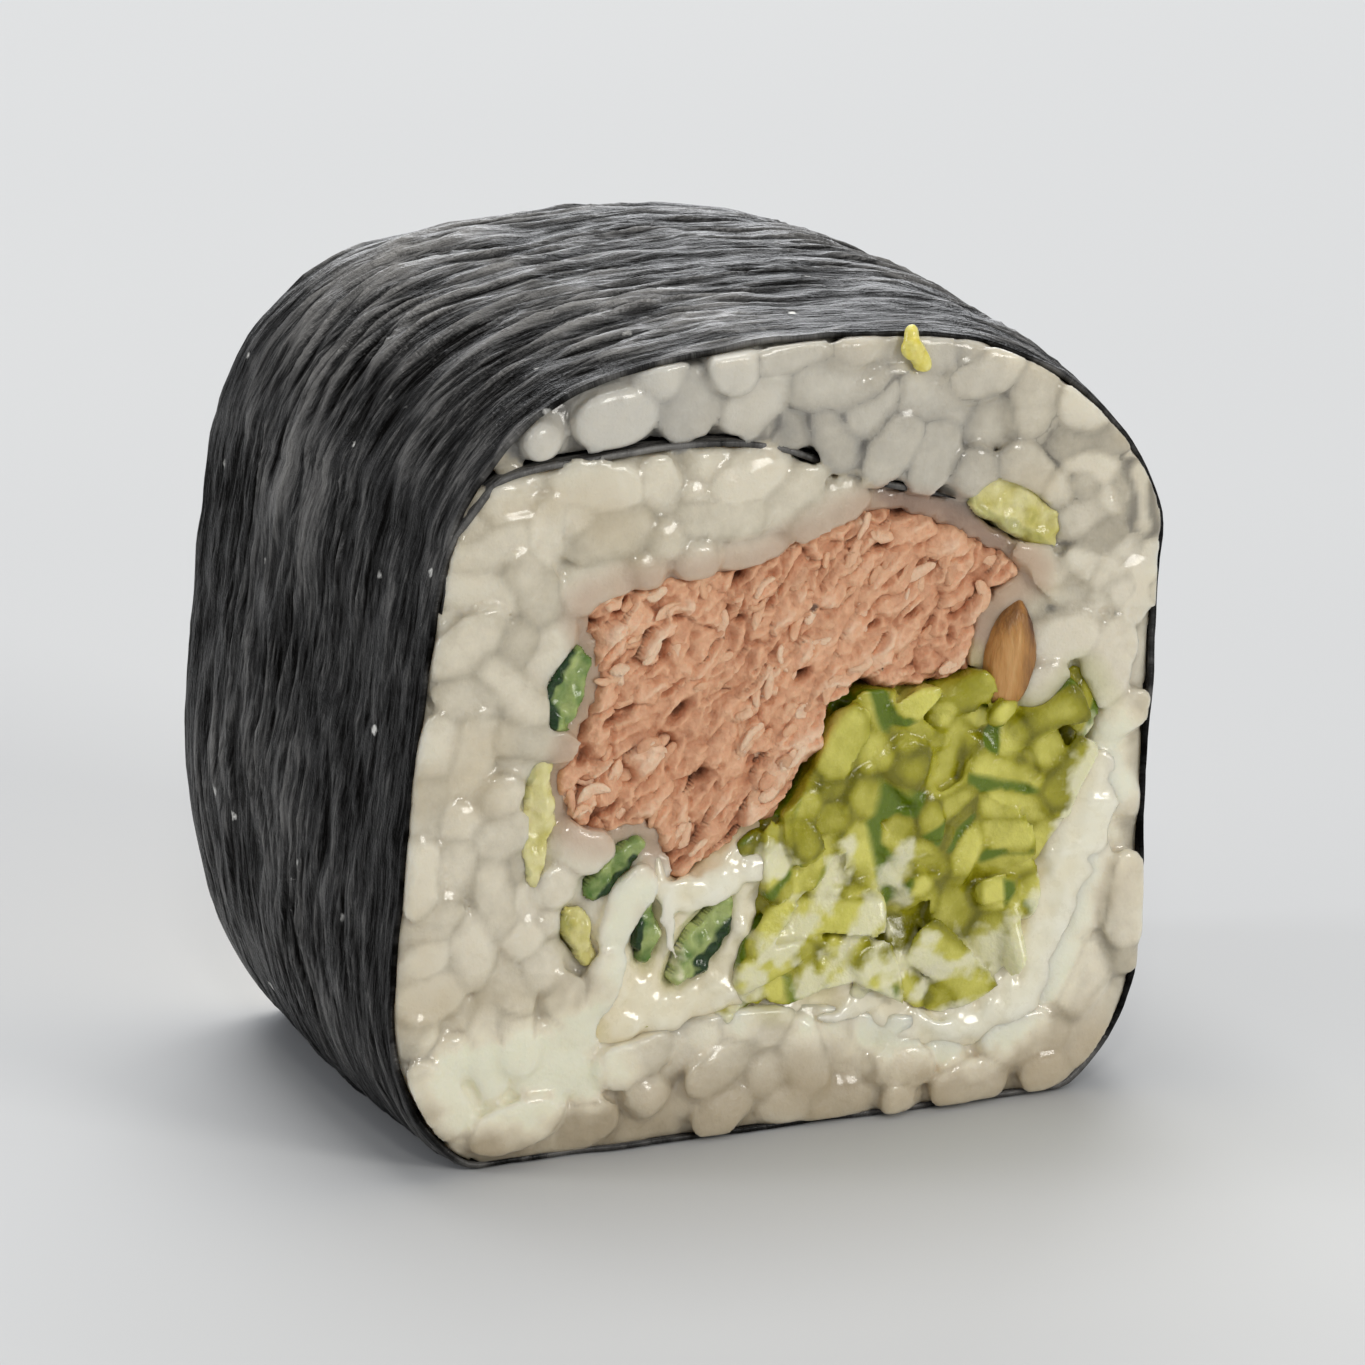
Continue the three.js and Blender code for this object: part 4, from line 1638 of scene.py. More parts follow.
    def _end(self, many: Index, few: Index) -> Index:
        """Close one end of the sheet between its two skins.

        Args:
            many: The outer skin's points along the end.
            few: The inner skin's points along it.

        Returns:
            The triangles between them.
        """
        step, spot = np.arange(len(many) - 1), np.arange(len(few) - 1)
        middle = self.coarser // 2
        fans = np.column_stack([many[step + 1], many[step], few[(step + middle) // self.coarser]])
        rest = np.column_stack([few[spot], few[spot + 1], many[spot * self.coarser + middle]])
        return np.vstack([fans, rest])

    @staticmethod
    def _rested(up: Array, floor: float) -> Array:
        """Press heights flat on what the piece stands on."""
        over = up - floor
        return floor + np.maximum(0.5 * (over + np.sqrt(over * over + 0.02)) - 0.05, 0.0)

    def build(self) -> None:
        """Make the sheet."""
        self.draft().built("nori_sheet", self.finish.material(), "nori", ["nori"])


@dataclass
class RiceBed:
    """Grains on both cut faces, packed over a bed that runs through."""

    section: CutSection
    finish: RiceFinish = RiceFinish()
    lap_count: int = 60
    main_count: int = 165
    lap_give: float = 0.3
    main_give: float = 0.7
    lap_recess: float = 0.9
    main_recess: float = 0.5
    lap_shade: float = 0.68
    main_shade: float = 0.72
    shade_spread: float = 0.26
    lap_seams: float = 1.45
    length: Pair = (4.6, 6.0)
    radius: Pair = (1.25, 1.6)
    depth: Pair = (-0.7, 2.6)
    lean: float = 0.7
    slab_depth: float = 3.0
    slab_step: float = 0.42
    bed_step: float = 0.6
    voxel: float = 0.23
    closing: float = 0.06
    line_width: float = 0.26
    shown_depth: float = 0.7
    curve: Pair = (0.05, 0.35)
    flatness: Pair = (0.84, 1.0)
    dents: float = 0.09
    wall_gap: float = 0.04
    knife: Pair = (-0.08, 0.2)
    knife_tilt: float = 0.06
    knife_chatter: float = 0.09
    knife_soft: float = 1.25
    lap_grains: tuple[RodPlan, ...] = tuple(RodPlan(*row) for row in (
        (-12.9, 39.3, 0.9, 20, 75, 1.3, 1.3),
        (-9, 40.1, 0.4, 8, 12, 0.9, 1.65),
        (-4.7, 40.2, 0.3, 60, 15, 0.5, 1.75),
        (-1, 40.3, 0.5, 35, 10, 0.9, 1.6),
        (3.6, 40.6, 0.3, -4, 8, 1.7, 1.65),
        (9, 39.3, 0.5, -24, 10, 1.4, 1.6),
    ))

    def _grain(self, region: DistanceMap, rods: Rods, row: int, rng: np.random.Generator) -> MeshDraft:
        """Mesh one grain, pressed off the walls round it and sliced by the knife.

        Args:
            region: The part of the cut that it may fill.
            rods: All grains of that part.
            row: Which of them.
            rng: Source of its small differences.

        Returns:
            The grain on the front face.
        """
        middle, way, half, radius = rods.middle[row], rods.way[row], rods.half[row], rods.radius[row]
        nearest = middle[1] - abs(way[1]) * half - radius
        rings, sides = (Layer.SHOWING if nearest < self.shown_depth else Layer.BURIED).value
        share = -np.cos(np.linspace(0, np.pi, rings))
        bend = unit(np.cross(way, rng.normal(size=3)))
        line = (middle + share[:, None] * way * (half + radius)
                + (0.5 - share[:, None] ** 2) * bend * rng.uniform(*self.curve))
        plump = radius * (1 - np.abs(share[1:-1]) ** 2.7) ** 0.5 * (1 + 0.08 * rng.normal() * share[1:-1])
        draft = swept(line, bend, np.column_stack([plump, plump * rng.uniform(*self.flatness)]), sides)
        points = draft.points
        dents = Clouds.smooth(points + rng.uniform(-50, 50, 3), 1.4, 15)
        points += self.dents * radius * dents[:, None] * unit(points - middle)
        places = points[:, CUT]
        region.press(points, self.wall_gap)
        tilt = (points[:, CUT] - middle[CUT]) @ rng.normal(0.0, self.knife_tilt, 2)
        knife = rng.normal(*self.knife) + tilt + self.knife_chatter * Clouds.layered(places, 1.1, 16, 2)
        points[:, 1] = sliced(points[:, 1], knife, self.knife_soft) - HALF_LENGTH
        return draft

    def grains(self, face: Face) -> MeshDraft:
        """Make the grains of one face, over the lap and under it.

        Args:
            face: The cut face.

        Returns:
            The fused grains over slabs that close the gaps behind them.
        """
        front = face is Face.FRONT
        held = self.lap_grains if front else ()
        main = self.section.main_rice_map if front else self.section.back_rice_map
        layers = (
            (self.section.lap_rice_map, self.lap_count, self.lap_give, held, self.lap_recess),
            (main, self.main_count, self.main_give, (), self.main_recess),
        )
        rng = np.random.default_rng(60 + face.seed)
        drafts, packed = [], []
        for region, count, give, fixed, recess in layers:
            packing = Packing(region, count, self.length, self.radius, self.depth, 40 + face.seed,
                              give=give, lean=self.lean, fixed=fixed)
            rods = packing.settled()
            drafts.append(self._slab(region, recess, face))
            drafts.extend(self._grain(region, rods, row, rng) for row in range(count))
            packed.append(rods)
        skin = fused(MeshDraft.joined(drafts), self.voxel)
        return self._dressed(skin, packed[0].joined(packed[1]), rng).on(face)

    def _slab(self, region: DistanceMap, recess: float, face: Face) -> MeshDraft:
        """Build the slab that closes the gaps between the grains of one region."""
        return ReliefBar(region, self.slab_step, self.slab_depth).draft(
            lambda places, _: 0.25 * Clouds.smooth(places, 2.2, 70 + face.seed) - recess)

    def _dressed(self, skin: MeshDraft, rods: Rods, rng: np.random.Generator) -> MeshDraft:
        """Mark the fused grains for their finish and press them to the lap.

        Args:
            skin: The fused skin on the front face.
            rods: All grains, those over the lap first.
            rng: Source of the grains' tones.

        Returns:
            The same skin.
        """
        section = self.section
        own, near, apart = rods.nearest(skin.points)
        over_lap = own < self.lap_count
        total = len(rods.half)
        shade = np.where(np.arange(total) < self.lap_count, self.lap_shade, self.main_shade)
        tone = np.clip(rng.normal(shade, self.shade_spread), 0, 1)
        heart = (1 - smoothstep(near, 0.2, 0.95)) * rng.uniform(0.1, 1.0, total)[own]
        places = skin.points[:, CUT]
        pressed = self.closing * (1 - smoothstep(-section.lap_map.at(places), 0.1, 1.2))
        skin.points[:, CUT] += section.lap_map.slope(places) * pressed[:, None]
        skin.marked(tone=tone[own], core=heart).softened(2)
        # Seams between grains, which the finish darkens as painted shade, more so over the lap.
        seam = np.maximum(smoothstep(near, 0.84, 1.14), 1 - smoothstep(apart, 0.0, self.line_width))
        skin.marked(seam=seam * np.where(over_lap, self.lap_seams, 1.0)).softened(1)
        ragged = 0.9 * Clouds.layered(places, 1.9, 62) - 0.5 * seam
        # How far the lap grains are greyed, less to the right: partly their greyer tone, partly painted shade.
        greyed = 1 - 0.4 * smoothstep(places[:, 0], -9.0, 3.0) - 0.5 * smoothstep(places[:, 0], 9.0, 15.0)
        return skin.marked(
            by_tuna=smoothstep(section.tuna_map.at(places), -2.6, 0.0),
            by_shreds=smoothstep(section.cucumber_map.at(places), -2.2, 0.0),
            smeared=smoothstep(section.smear_map.at(places) + ragged, -1.9, 0.7),
            cool=over_lap * greyed,
            # Near the underside, where the finish paints shade and warm reflected light.
            foot=1 - smoothstep(places[:, 1], 2.0, 7.0),
        )

    def build(self) -> None:
        """Make the grains on both faces and the bed between them."""
        material = self.finish.material()
        for face in Face:
            self.grains(face).built(f"rice_grains_{face.name.lower()}", material, "rice", ["rice"])
        regions = (self.section.lap_rice_map, self.section.main_rice_map)
        bars = (ReliefBar(region.shrunk(BED_INSET), self.bed_step) for region in regions)
        bed = MeshDraft.joined([bar.level(self.slab_depth - BED_OVERLAP) for bar in bars])
        clean = dict.fromkeys(("core", "by_tuna", "by_shreds", "smeared", "cool", "foot"), 0.0)
        # The bed takes the full seam mark: painted shade where it shows between the grains.
        bed.marked(tone=0.35, seam=1.0, **clean).built("rice_bed", material, "rice", ["rice"])


@dataclass
class TunaFilling:
    """Flaked tuna, cut across: pressed chunks, fibres and crevices, with loose flakes on top."""

    section: CutSection
    finish: TunaFinish = TunaFinish()
    step: float = 0.11
    span_x: Pair = (-13.0, 16.0)
    span_z: Pair = (13.0, 35.0)
    edge: tuple[float, float, int] = (1.5, 0.42, 77)
    chunks: int = 220
    chunk_lift: Pair = (-0.2, 0.14)
    chunk_tilt: float = 0.11
    chunk_turn: float = 20.0
    chunk_shape: Pair = (0.62, 1.15)
    fibre_angle: float = 44.0
    fibres: tuple[Bumps, ...] = ((0.26, (3.2, 0.6, 1.0), 92), (0.17, (1.7, 0.32, 1.0), 93))
    crumbs: tuple[Bumps, ...] = ((0.06, 0.9, 94), (0.08, 0.42, 95), (0.11, 0.27, 99))
    slits: tuple[tuple[Bumps, Pair], ...] = (
        ((0.34, (1.7, 0.6), 103), (0.5, 0.8)), ((0.7, (2.6, 0.95), 97), (0.5, 0.76)),
    )
    seam_depth: float = 0.36
    seam_width: float = 0.28
    rim_depth: float = 0.9
    rim_width: float = 0.8
    crevice_depth: float = 1.1
    sunk: float = 0.12
    flakes: int = 100
    flake_tries: int = 4000
    flake_inset: float = 0.55
    flake_length: Pair = (0.8, 2.2)
    flake_width: Pair = (0.2, 0.42)
    flake_thickness: Pair = (0.12, 0.2)
    flake_turn: float = 28.0
    crevices: tuple[tuple[float, float, float, float], ...] = (
        (-5.4, 23.6, 0.75, 0.45), (-6.2, 22.3, 0.4, 0.6), (-4.1, 19.9, 0.4, 0.35), (-8.7, 29.7, 0.7, 0.3),
        (-5.6, 28.9, 0.35, 0.4), (-6.1, 15.3, 0.3, 0.35), (-4.6, 15.1, 0.3, 0.4), (6.2, 31.6, 0.5, 0.35),
        (-8.2, 20.4, 0.4, 0.5), (10.6, 27.4, 0.9, 0.3), (5.6, 27.0, 0.5, 0.3), (-1.9, 30.6, 0.4, 0.3),
        (-6.4, 27.4, 0.4, 0.3), (1.6, 24.8, 0.5, 0.3), (12.6, 27.8, 0.8, 0.4),
    )
    region: DistanceMap = field(init=False)

    def __post_init__(self) -> None:
        """Give the region its uneven edge."""
        self.region = self.section.tuna_map.ruffled(*self.edge)

    def _strewn(self, rng: np.random.Generator, count: int) -> Array:
        """Draw places in a box round the tuna."""
        return np.column_stack([rng.uniform(*span, count) for span in (self.span_x, self.span_z)])

    def _height(self, places: Array, face: Face) -> Array:
        """How far the tuna stands out of the cut.

        Args:
            places: Section points.
            face: The cut face.

        Returns:
            Height of each point, in millimetres.
        """
        rng = np.random.default_rng(80 + face.seed)
        middles = self._strewn(rng, self.chunks)
        angle = np.radians(self.fibre_angle + rng.normal(0, self.chunk_turn, self.chunks))
        lift = rng.uniform(*self.chunk_lift, self.chunks)
        tilt = rng.normal(0, self.chunk_tilt, (self.chunks, 2))
        lean = math.radians(self.fibre_angle)
        turn = np.array([[math.cos(lean), -math.sin(lean)], [math.sin(lean), math.cos(lean)]])
        sway = 0.5 * np.column_stack([Clouds.smooth(places, 1.4, seed + face.seed) for seed in (90, 91)])
        own, seam = self._chunk((places + sway) @ turn, middles @ turn)
        offset = places - middles[own]
        cos, sin = np.cos(angle[own]), np.sin(angle[own])
        run, cross = offset[:, 0] * cos + offset[:, 1] * sin, offset[:, 1] * cos - offset[:, 0] * sin
        height = lift[own] + np.sum(offset * tilt[own], axis=1) - self.sunk
        height += Clouds.mingled(np.column_stack([run, cross, own * 7.3]), self.fibres)
        height += Clouds.mingled(places, self.crumbs, face.seed)
        laid = (places + 0.5 * sway) @ turn
        for (depth, size, seed), span in self.slits:
            height -= depth * smoothstep(Clouds.smooth(laid, size, seed + face.seed), *span)
        opened = 0.4 + 0.6 * smoothstep(Clouds.smooth(places, 3.0, 96), -0.3, 0.4)
        height -= self.seam_depth * np.exp(-(seam / self.seam_width) ** 2) * opened
        height -= self.rim_depth * (1 - smoothstep(self.region.at(places), 0.0, self.rim_width)) ** 2
        for x, z, wide, high in self.crevices if face is Face.FRONT else ():
            spot = (places + 0.6 * sway - np.array([x + SIDE_SHIFT, z])) @ turn / np.array([wide, high])
            height -= self.crevice_depth * np.exp(-np.sum(spot ** 2, axis=1) * 1.2)
        return height

    def _chunk(self, spots: Array, seats: Array) -> tuple[Index, Array]:
        """Find the chunk that each point belongs to.

        Args:
            spots: Points, turned to the fibres.
            seats: Middles of the chunks, turned in the same way.

        Returns:
            Each point's chunk, and how much further away the next one is.
        """
        spots, seats = spots * self.chunk_shape, seats * self.chunk_shape
        distance = np.linalg.norm(spots[:, None] - seats[None, :], axis=-1)
        order = np.argpartition(distance, 1, axis=1)[:, :2]
        pair = np.take_along_axis(distance, order, axis=1)
        return np.where(pair[:, 0] > pair[:, 1], order[:, 1], order[:, 0]), np.abs(pair[:, 1] - pair[:, 0])

    def _flake(self, place: Array, depth: float, rng: np.random.Generator) -> MeshDraft:
        """Mesh one loose flake.

        Args:
            place: Where it lies on the cut.
            depth: Depth of the tuna under it.
            rng: Source of its shape.

        Returns:
            The flake on the front face.
        """
        angle = math.radians(self.fibre_angle + rng.normal(0, self.flake_turn))
        long, wide = rng.uniform(*self.flake_length), rng.uniform(*self.flake_width)
        way = unit(np.array([math.cos(angle), rng.normal(0, 0.18), math.sin(angle)]))
        share = -np.cos(np.linspace(0, np.pi, 11))
        bend = np.array([-way[2], 0.0, way[0]]) * rng.normal(0, 0.22)
        line = (np.array([place[0], depth, place[1]]) + share[:, None] * way * long / 2
                + (share[:, None] ** 2 - 0.4) * bend)
        body = (1 - np.abs(share[1:-1]) ** 3) ** 0.5
        halves = np.column_stack([wide * body, rng.uniform(*self.flake_thickness) * body])
        draft = swept(line, np.array([-way[2], rng.normal(0, 0.4), way[0]]), halves, 8, 2.4)
        moves = [Clouds.smooth(draft.points + rng.uniform(-40, 40, 3), 0.5, 98 + n) for n in range(3)]
        draft.points += 0.09 * np.stack(moves, axis=1)
        draft.points[:, 1] -= HALF_LENGTH
        return draft.marked(relief=rng.uniform(-0.35, 0.35))

    def loose(self, face: Face) -> MeshDraft:
        """Strew the loose flakes of one face.

        Args:
            face: The cut face.

        Returns:
            All of its flakes.
        """
        rng = np.random.default_rng(110 + face.seed)
        spots = self._strewn(rng, self.flake_tries)
        spots = spots[self.region.at(spots) > self.flake_inset][: self.flakes]
        depth = rng.uniform(-0.02, 0.22, len(spots)) - self._height(spots, face)
        return MeshDraft.joined([self._flake(spot, deep, rng) for spot, deep in zip(spots, depth)]).on(face)

    def build(self) -> None:
        """Make the tuna and its loose flakes."""
        material = self.finish.material()
        flesh = ReliefBar(self.region, self.step).draft(self._height)
        flesh.marked(relief=flesh.standing()).built("tuna_flesh", material, "tuna", ["tuna"])
        flakes = MeshDraft.joined([self.loose(face) for face in Face])
        flakes.built("tuna_flakes", material, "tuna", ["tuna"])


@dataclass(frozen=True)
class ShredPlan:
    """A shred that lies in a known place on the cut."""

    place: RodPlan
    tone: float
    peel: float

    @classmethod
    def rows(cls, *rows: tuple[float, ...]) -> tuple["ShredPlan", ...]:
        """Read shreds from rows: the rod's seven numbers, then tone and peel."""
        return tuple(cls(RodPlan(*row[:7]), *row[7:]) for row in rows)


@dataclass
class CucumberBundle:
    """Moist shreds of cucumber pressed together, most of them cut across, and a few strays in the cheese."""

    section: CutSection
    finish: ShredFinish = ShredFinish()
    count: int = 92
    length: Pair = (3.0, 7.0)
    radius: Pair = (0.7, 1.5)
    depth: Pair = (-0.5, 2.2)
    give: float = 0.25
    lean: float = 1.6
    wall: float = 0.6
    recess: float = 1.6
    slab_depth: float = 3.0
    slab_step: float = 0.4
    slab_inset: float = 0.1
    bed_step: float = 0.5
    voxel: float = 0.16
    flatness: Pair = (0.5, 0.95)
    square: Pair = (2.8, 4.4)
    dents: float = 0.16
    wall_gap: float = 0.03
    knife: Pair = (0.05, 0.32)
    knife_tilt: float = 0.16
    knife_soft: float = 0.34
    tone: Pair = (0.7, 0.22)
    peeled: float = 0.32
    held: tuple[ShredPlan, ...] = ShredPlan.rows(
        (0.3, 12.4, -0.1, 55, 4, 2.6, 0.75, 0.9, 0),
        (2.8, 15.4, 0.1, 58, 6, 2.1, 0.7, 0.8, 0),
        (4.8, 10.4, 0.1, 62, 5, 1.8, 0.6, 0.85, 0),
        (-1, 9.4, 0, 48, 5, 1.8, 0.6, 0.95, 0),
        (1.4, 18.4, 0.3, 40, 10, 1.3, 0.7, 0.15, 1),
        (4, 18.8, 0.4, 20, 15, 1.2, 0.8, 0.1, 1),
        (18, 21.6, -0.1, 65, 10, 1, 0.8, 0.4, 1),
        (10.6, 15.6, 0.2, 60, 20, 1.1, 0.7, 0.1, 1),
    )
    strays: tuple[ShredPlan, ...] = ShredPlan.rows(
        (5.4, 7, 0.6, 8, 35, 0.5, 0.7, 0.25, 0.1),
        (9.4, 5.9, 0.5, -35, 30, 0.5, 0.75, 0.3, 1),
        (12.4, 6.8, 0.6, 5, 20, 0.6, 0.55, 0.8, 0),
        (10.6, 8.5, 0.5, 10, 25, 0.5, 0.65, 0.35, 0),
        (-7.6, 7.6, 0.6, 80, 20, 0.8, 0.5, 0.8, 0),
        (-13.2, 6.9, 0.7, 20, 40, 0.3, 0.45, 0.1, 0),
        (-1.2, 8.8, 0.6, 40, 10, 1, 0.75, 0.95, 0),
        (-2.4, 6.8, 0.7, 20, 20, 0.6, 0.5, 0.9, 0),
        (-12.6, 23, 0.7, 70, 15, 0.7, 0.5, 0.9, 0),
        (-1.2, 15.9, 0.6, 20, 20, 0.6, 0.5, 0.2, 0.6),
    )

    def _shred(self, rods: Rods, row: int, flat: float, turn: Array, rng: np.random.Generator) -> MeshDraft:
        """Mesh one shred on the front face.

        Args:
            rods: All shreds, the strays last.
            row: Which of them.
            flat: Its thickness for its width.
            turn: Direction of its width.
            rng: Source of its small differences.

        Returns:
            The shred.
        """
        middle, way, radius = rods.middle[row], rods.way[row], rods.radius[row]
        share = np.linspace(-1, 1, 15)
        bend = unit(np.cross(way, rng.normal(size=3)))
        reach = rods.half[row] + radius
        line = (middle + share[:, None] * way * reach
                + (share[:, None] ** 2 - 0.35) * bend * rng.normal(0, 0.14) * reach)
        wave = 1 + 0.16 * np.sin(share[1:-1] * rng.uniform(1, 4) + rng.uniform(0, 6))
        body = (1 - np.abs(share[1:-1]) ** 10) ** 0.4 * wave
        halves = np.column_stack([1.12 * radius * body, flat * radius * body])
        draft = swept(line, turn, halves, 14, rng.uniform(*self.square))
        points = draft.points
        dents = Clouds.layered(points + rng.uniform(-60, 60, 3), 1.1, 17, 2)
        points += self.dents * radius * dents[:, None] * unit(points - middle)
        if row < self.count:
            self.section.cucumber_map.press(points, self.wall_gap)
        tilt = (points[:, CUT] - middle[CUT]) @ rng.normal(0.0, self.knife_tilt, 2)
        points[:, 1] = sliced(points[:, 1], rng.normal(*self.knife) + tilt, self.knife_soft) - HALF_LENGTH
        return draft

    def shreds(self, face: Face) -> MeshDraft:
        """Pack, mesh and fuse the shreds of one face.

        Args:
            face: The cut face.

        Returns:
            The fused shreds, marked with their tone and peel.
        """
        region = self.section.cucumber_map
        rng = np.random.default_rng(150 + face.seed)
        held = self.held if face is Face.FRONT else ()
        fixed = tuple(plan.place for plan in held)
        packing = Packing(region, self.count, self.length, self.radius, self.depth, 140 + face.seed,
                          give=self.give, lean=self.lean, wall=self.wall, fixed=fixed)
        rods = packing.settled().joined(Rods.planned([plan.place for plan in self.strays]))
        total = len(rods.half)
        turns = unit(np.cross(rods.way, rng.normal(size=(total, 3))))
        flats = rng.uniform(*self.flatness, total)
        tone = np.clip(rng.normal(*self.tone, total), 0, 1)
        peel = (rng.random(total) < self.peeled) * rng.uniform(0.6, 1.0, total)
        for row, plan in [*enumerate(held), *enumerate(self.strays, start=self.count)]:
            tone[row], peel[row] = plan.tone, plan.peel
        drafts = [self._shred(rods, row, flats[row], turns[row], rng) for row in range(total)]
        slab = ReliefBar(region.shrunk(self.slab_inset), self.slab_step, self.slab_depth).draft(
            lambda places, _: 0.3 * Clouds.smooth(places, 1.4, 160 + face.seed) - self.recess)
        skin = fused(MeshDraft.joined([*drafts, slab]), self.voxel, 1)
        own, near, apart = rods.nearest(skin.points)
        offset = skin.points + np.array([0.0, HALF_LENGTH, 0.0]) - rods.middle[own]
        side = np.sum(offset * turns[own], axis=1) / rods.radius[own]
        deep = -skin.standing()
        # Darker at each shred's edge, partly its greener rind and partly painted shade, and painted shade where
        # it sits deeper and between shreds.
        shade = (0.6 * smoothstep(near, 0.5, 1.05) + 0.4 * smoothstep(deep, 0.3, 1.2)
                 + 0.5 * (1 - smoothstep(apart, 0.0, 0.16)))
        mottle = 0.3 * Clouds.layered(skin.points, 1.6, 165)
        skin.marked(tone=tone[own] - shade + mottle, peel=peel[own] * smoothstep(side, 0.15, 0.55)).softened(2)
        places = skin.points[:, CUT]
        ragged = 0.75 * Clouds.layered(places, 1.1, 166)
        smeared = smoothstep(self.section.smear_map.at(places) + ragged, -0.5, 0.7)
        return skin.marked(milky=smeared * (1 - smoothstep(deep, 0.2, 0.9))).on(face)

    def build(self) -> None:
        """Make the shreds on both faces and the bed between them."""
        material = self.finish.material()
        for face in Face:
            self.shreds(face).built(f"cucumber_shreds_{face.name.lower()}", material, "cucumber", ["cucumber"])
        bar = ReliefBar(self.section.cucumber_map.shrunk(BED_INSET), self.bed_step)
        # The bed is kept dark: painted shade where it shows between the shreds.
        bed = bar.level(self.slab_depth - BED_OVERLAP).marked(tone=0.2, peel=0.0, milky=0.0)
        bed.built("cucumber_bed", material, "cucumber", ["cucumber"])


@dataclass
class CheeseSpread:
    """Soft cheese round the fillings, with smears that the knife drew over the shreds."""

    section: CutSection
    finish: CheeseFinish = CheeseFinish()
    step: float = 0.22
    smear_step: float = 0.3
    bed_step: float = 0.4
    slab_depth: float = 2.6
    voxel: float = 0.2
    sunk: float = 0.3
    rim_depth: float = 0.6
    tip_depth: float = 1.4
    tip: Pair = (-13.0, -9.0)

    def _height(self, places: Array, face: Face) -> Array:
        """How far the cheese stands out of the cut.

        Args:
            places: Section points.
            face: The cut face.

        Returns:
            Height of each point, in millimetres.
        """
        spread = 0.45 * Clouds.smooth(places, 2.4, 170 + face.seed)
        spread += 0.24 * Clouds.layered(places, 1.1, 171 + face.seed)
        drawn = 0.12 * Clouds.smooth(places @ np.array([[0.8, -0.6], [0.6, 0.8]]), (4.0, 0.7), 172)
        rim = self.rim_depth * (1 - smoothstep(self.section.cheese_map.at(places), 0.0, 1.0)) ** 2
        tip = self.tip_depth * (1 - smoothstep(places[:, 0], *self.tip))
        return spread + drawn - self.sunk - (rim + tip)

    def _smear(self, plan: SmearPlan, face: Face, rng: np.random.Generator) -> MeshDraft:
        """Draw one thick smear.

        Args:
            plan: Where it lies.
            face: The cut face.
            rng: Source of its sway.

        Returns:
            The smear, on the front face.
        """
        flat = plan.line(self.smear_step)
        share = np.linspace(-1, 1, len(flat))
        sway = Clouds.smooth(np.column_stack([share * 3, np.full(len(flat), rng.uniform(0, 90))]), 0.8, 181)
        line = np.column_stack([flat[:, 0], plan.deep + 0.3 * sway, flat[:, 1]])
        body = plan.half * ((1 - np.abs(share[1:-1]) ** 3) ** 0.5 * (0.9 + 0.4 * sway[1:-1]))
        way = unit(np.gradient(flat, axis=0)).mean(axis=0)
        across = np.array([-way[1], rng.normal(0, 0.15), way[0]])
        draft = swept(line, across, np.column_stack([body, 0.5 * body]), 16)
        draft.points += 0.3 * Clouds.drift(draft.points + 9 * face.seed, 1.2, 182)
        draft.points[:, 1] = sliced(draft.points[:, 1], -0.6, 0.9) - HALF_LENGTH
        return draft

    def spread(self, face: Face) -> MeshDraft:
        """Fuse the cheese and the smears of one face.

        Args:
            face: The cut face.

        Returns:
            The fused skin.
        """
        rng = np.random.default_rng(180 + face.seed)
        smears = [self._smear(plan, face, rng) for plan in self.section.smears if plan.deep is not None]
        slab = ReliefBar(self.section.cheese_map, self.step, self.slab_depth).draft(
            lambda places, _: self._height(places, face))
        skin = fused(MeshDraft.joined([slab, *smears]), self.voxel)
        return skin.marked(relief=skin.standing()).on(face)

    def build(self) -> None:
        """Make the cheese on both faces and the bed between them."""
        material = self.finish.material()
        spread = MeshDraft.joined([self.spread(face) for face in Face])
        spread.built("cheese_spread", material, "cheese", ["cream_cheese"])
        bed = ReliefBar(self.section.cheese_map, self.bed_step).level(self.slab_depth - BED_OVERLAP)
        # The bed sits deep, so it takes the tinged colour: painted shade where it shows.
        bed.marked(relief=bed.standing()).built("cheese_bed", material, "cheese", ["cream_cheese"])


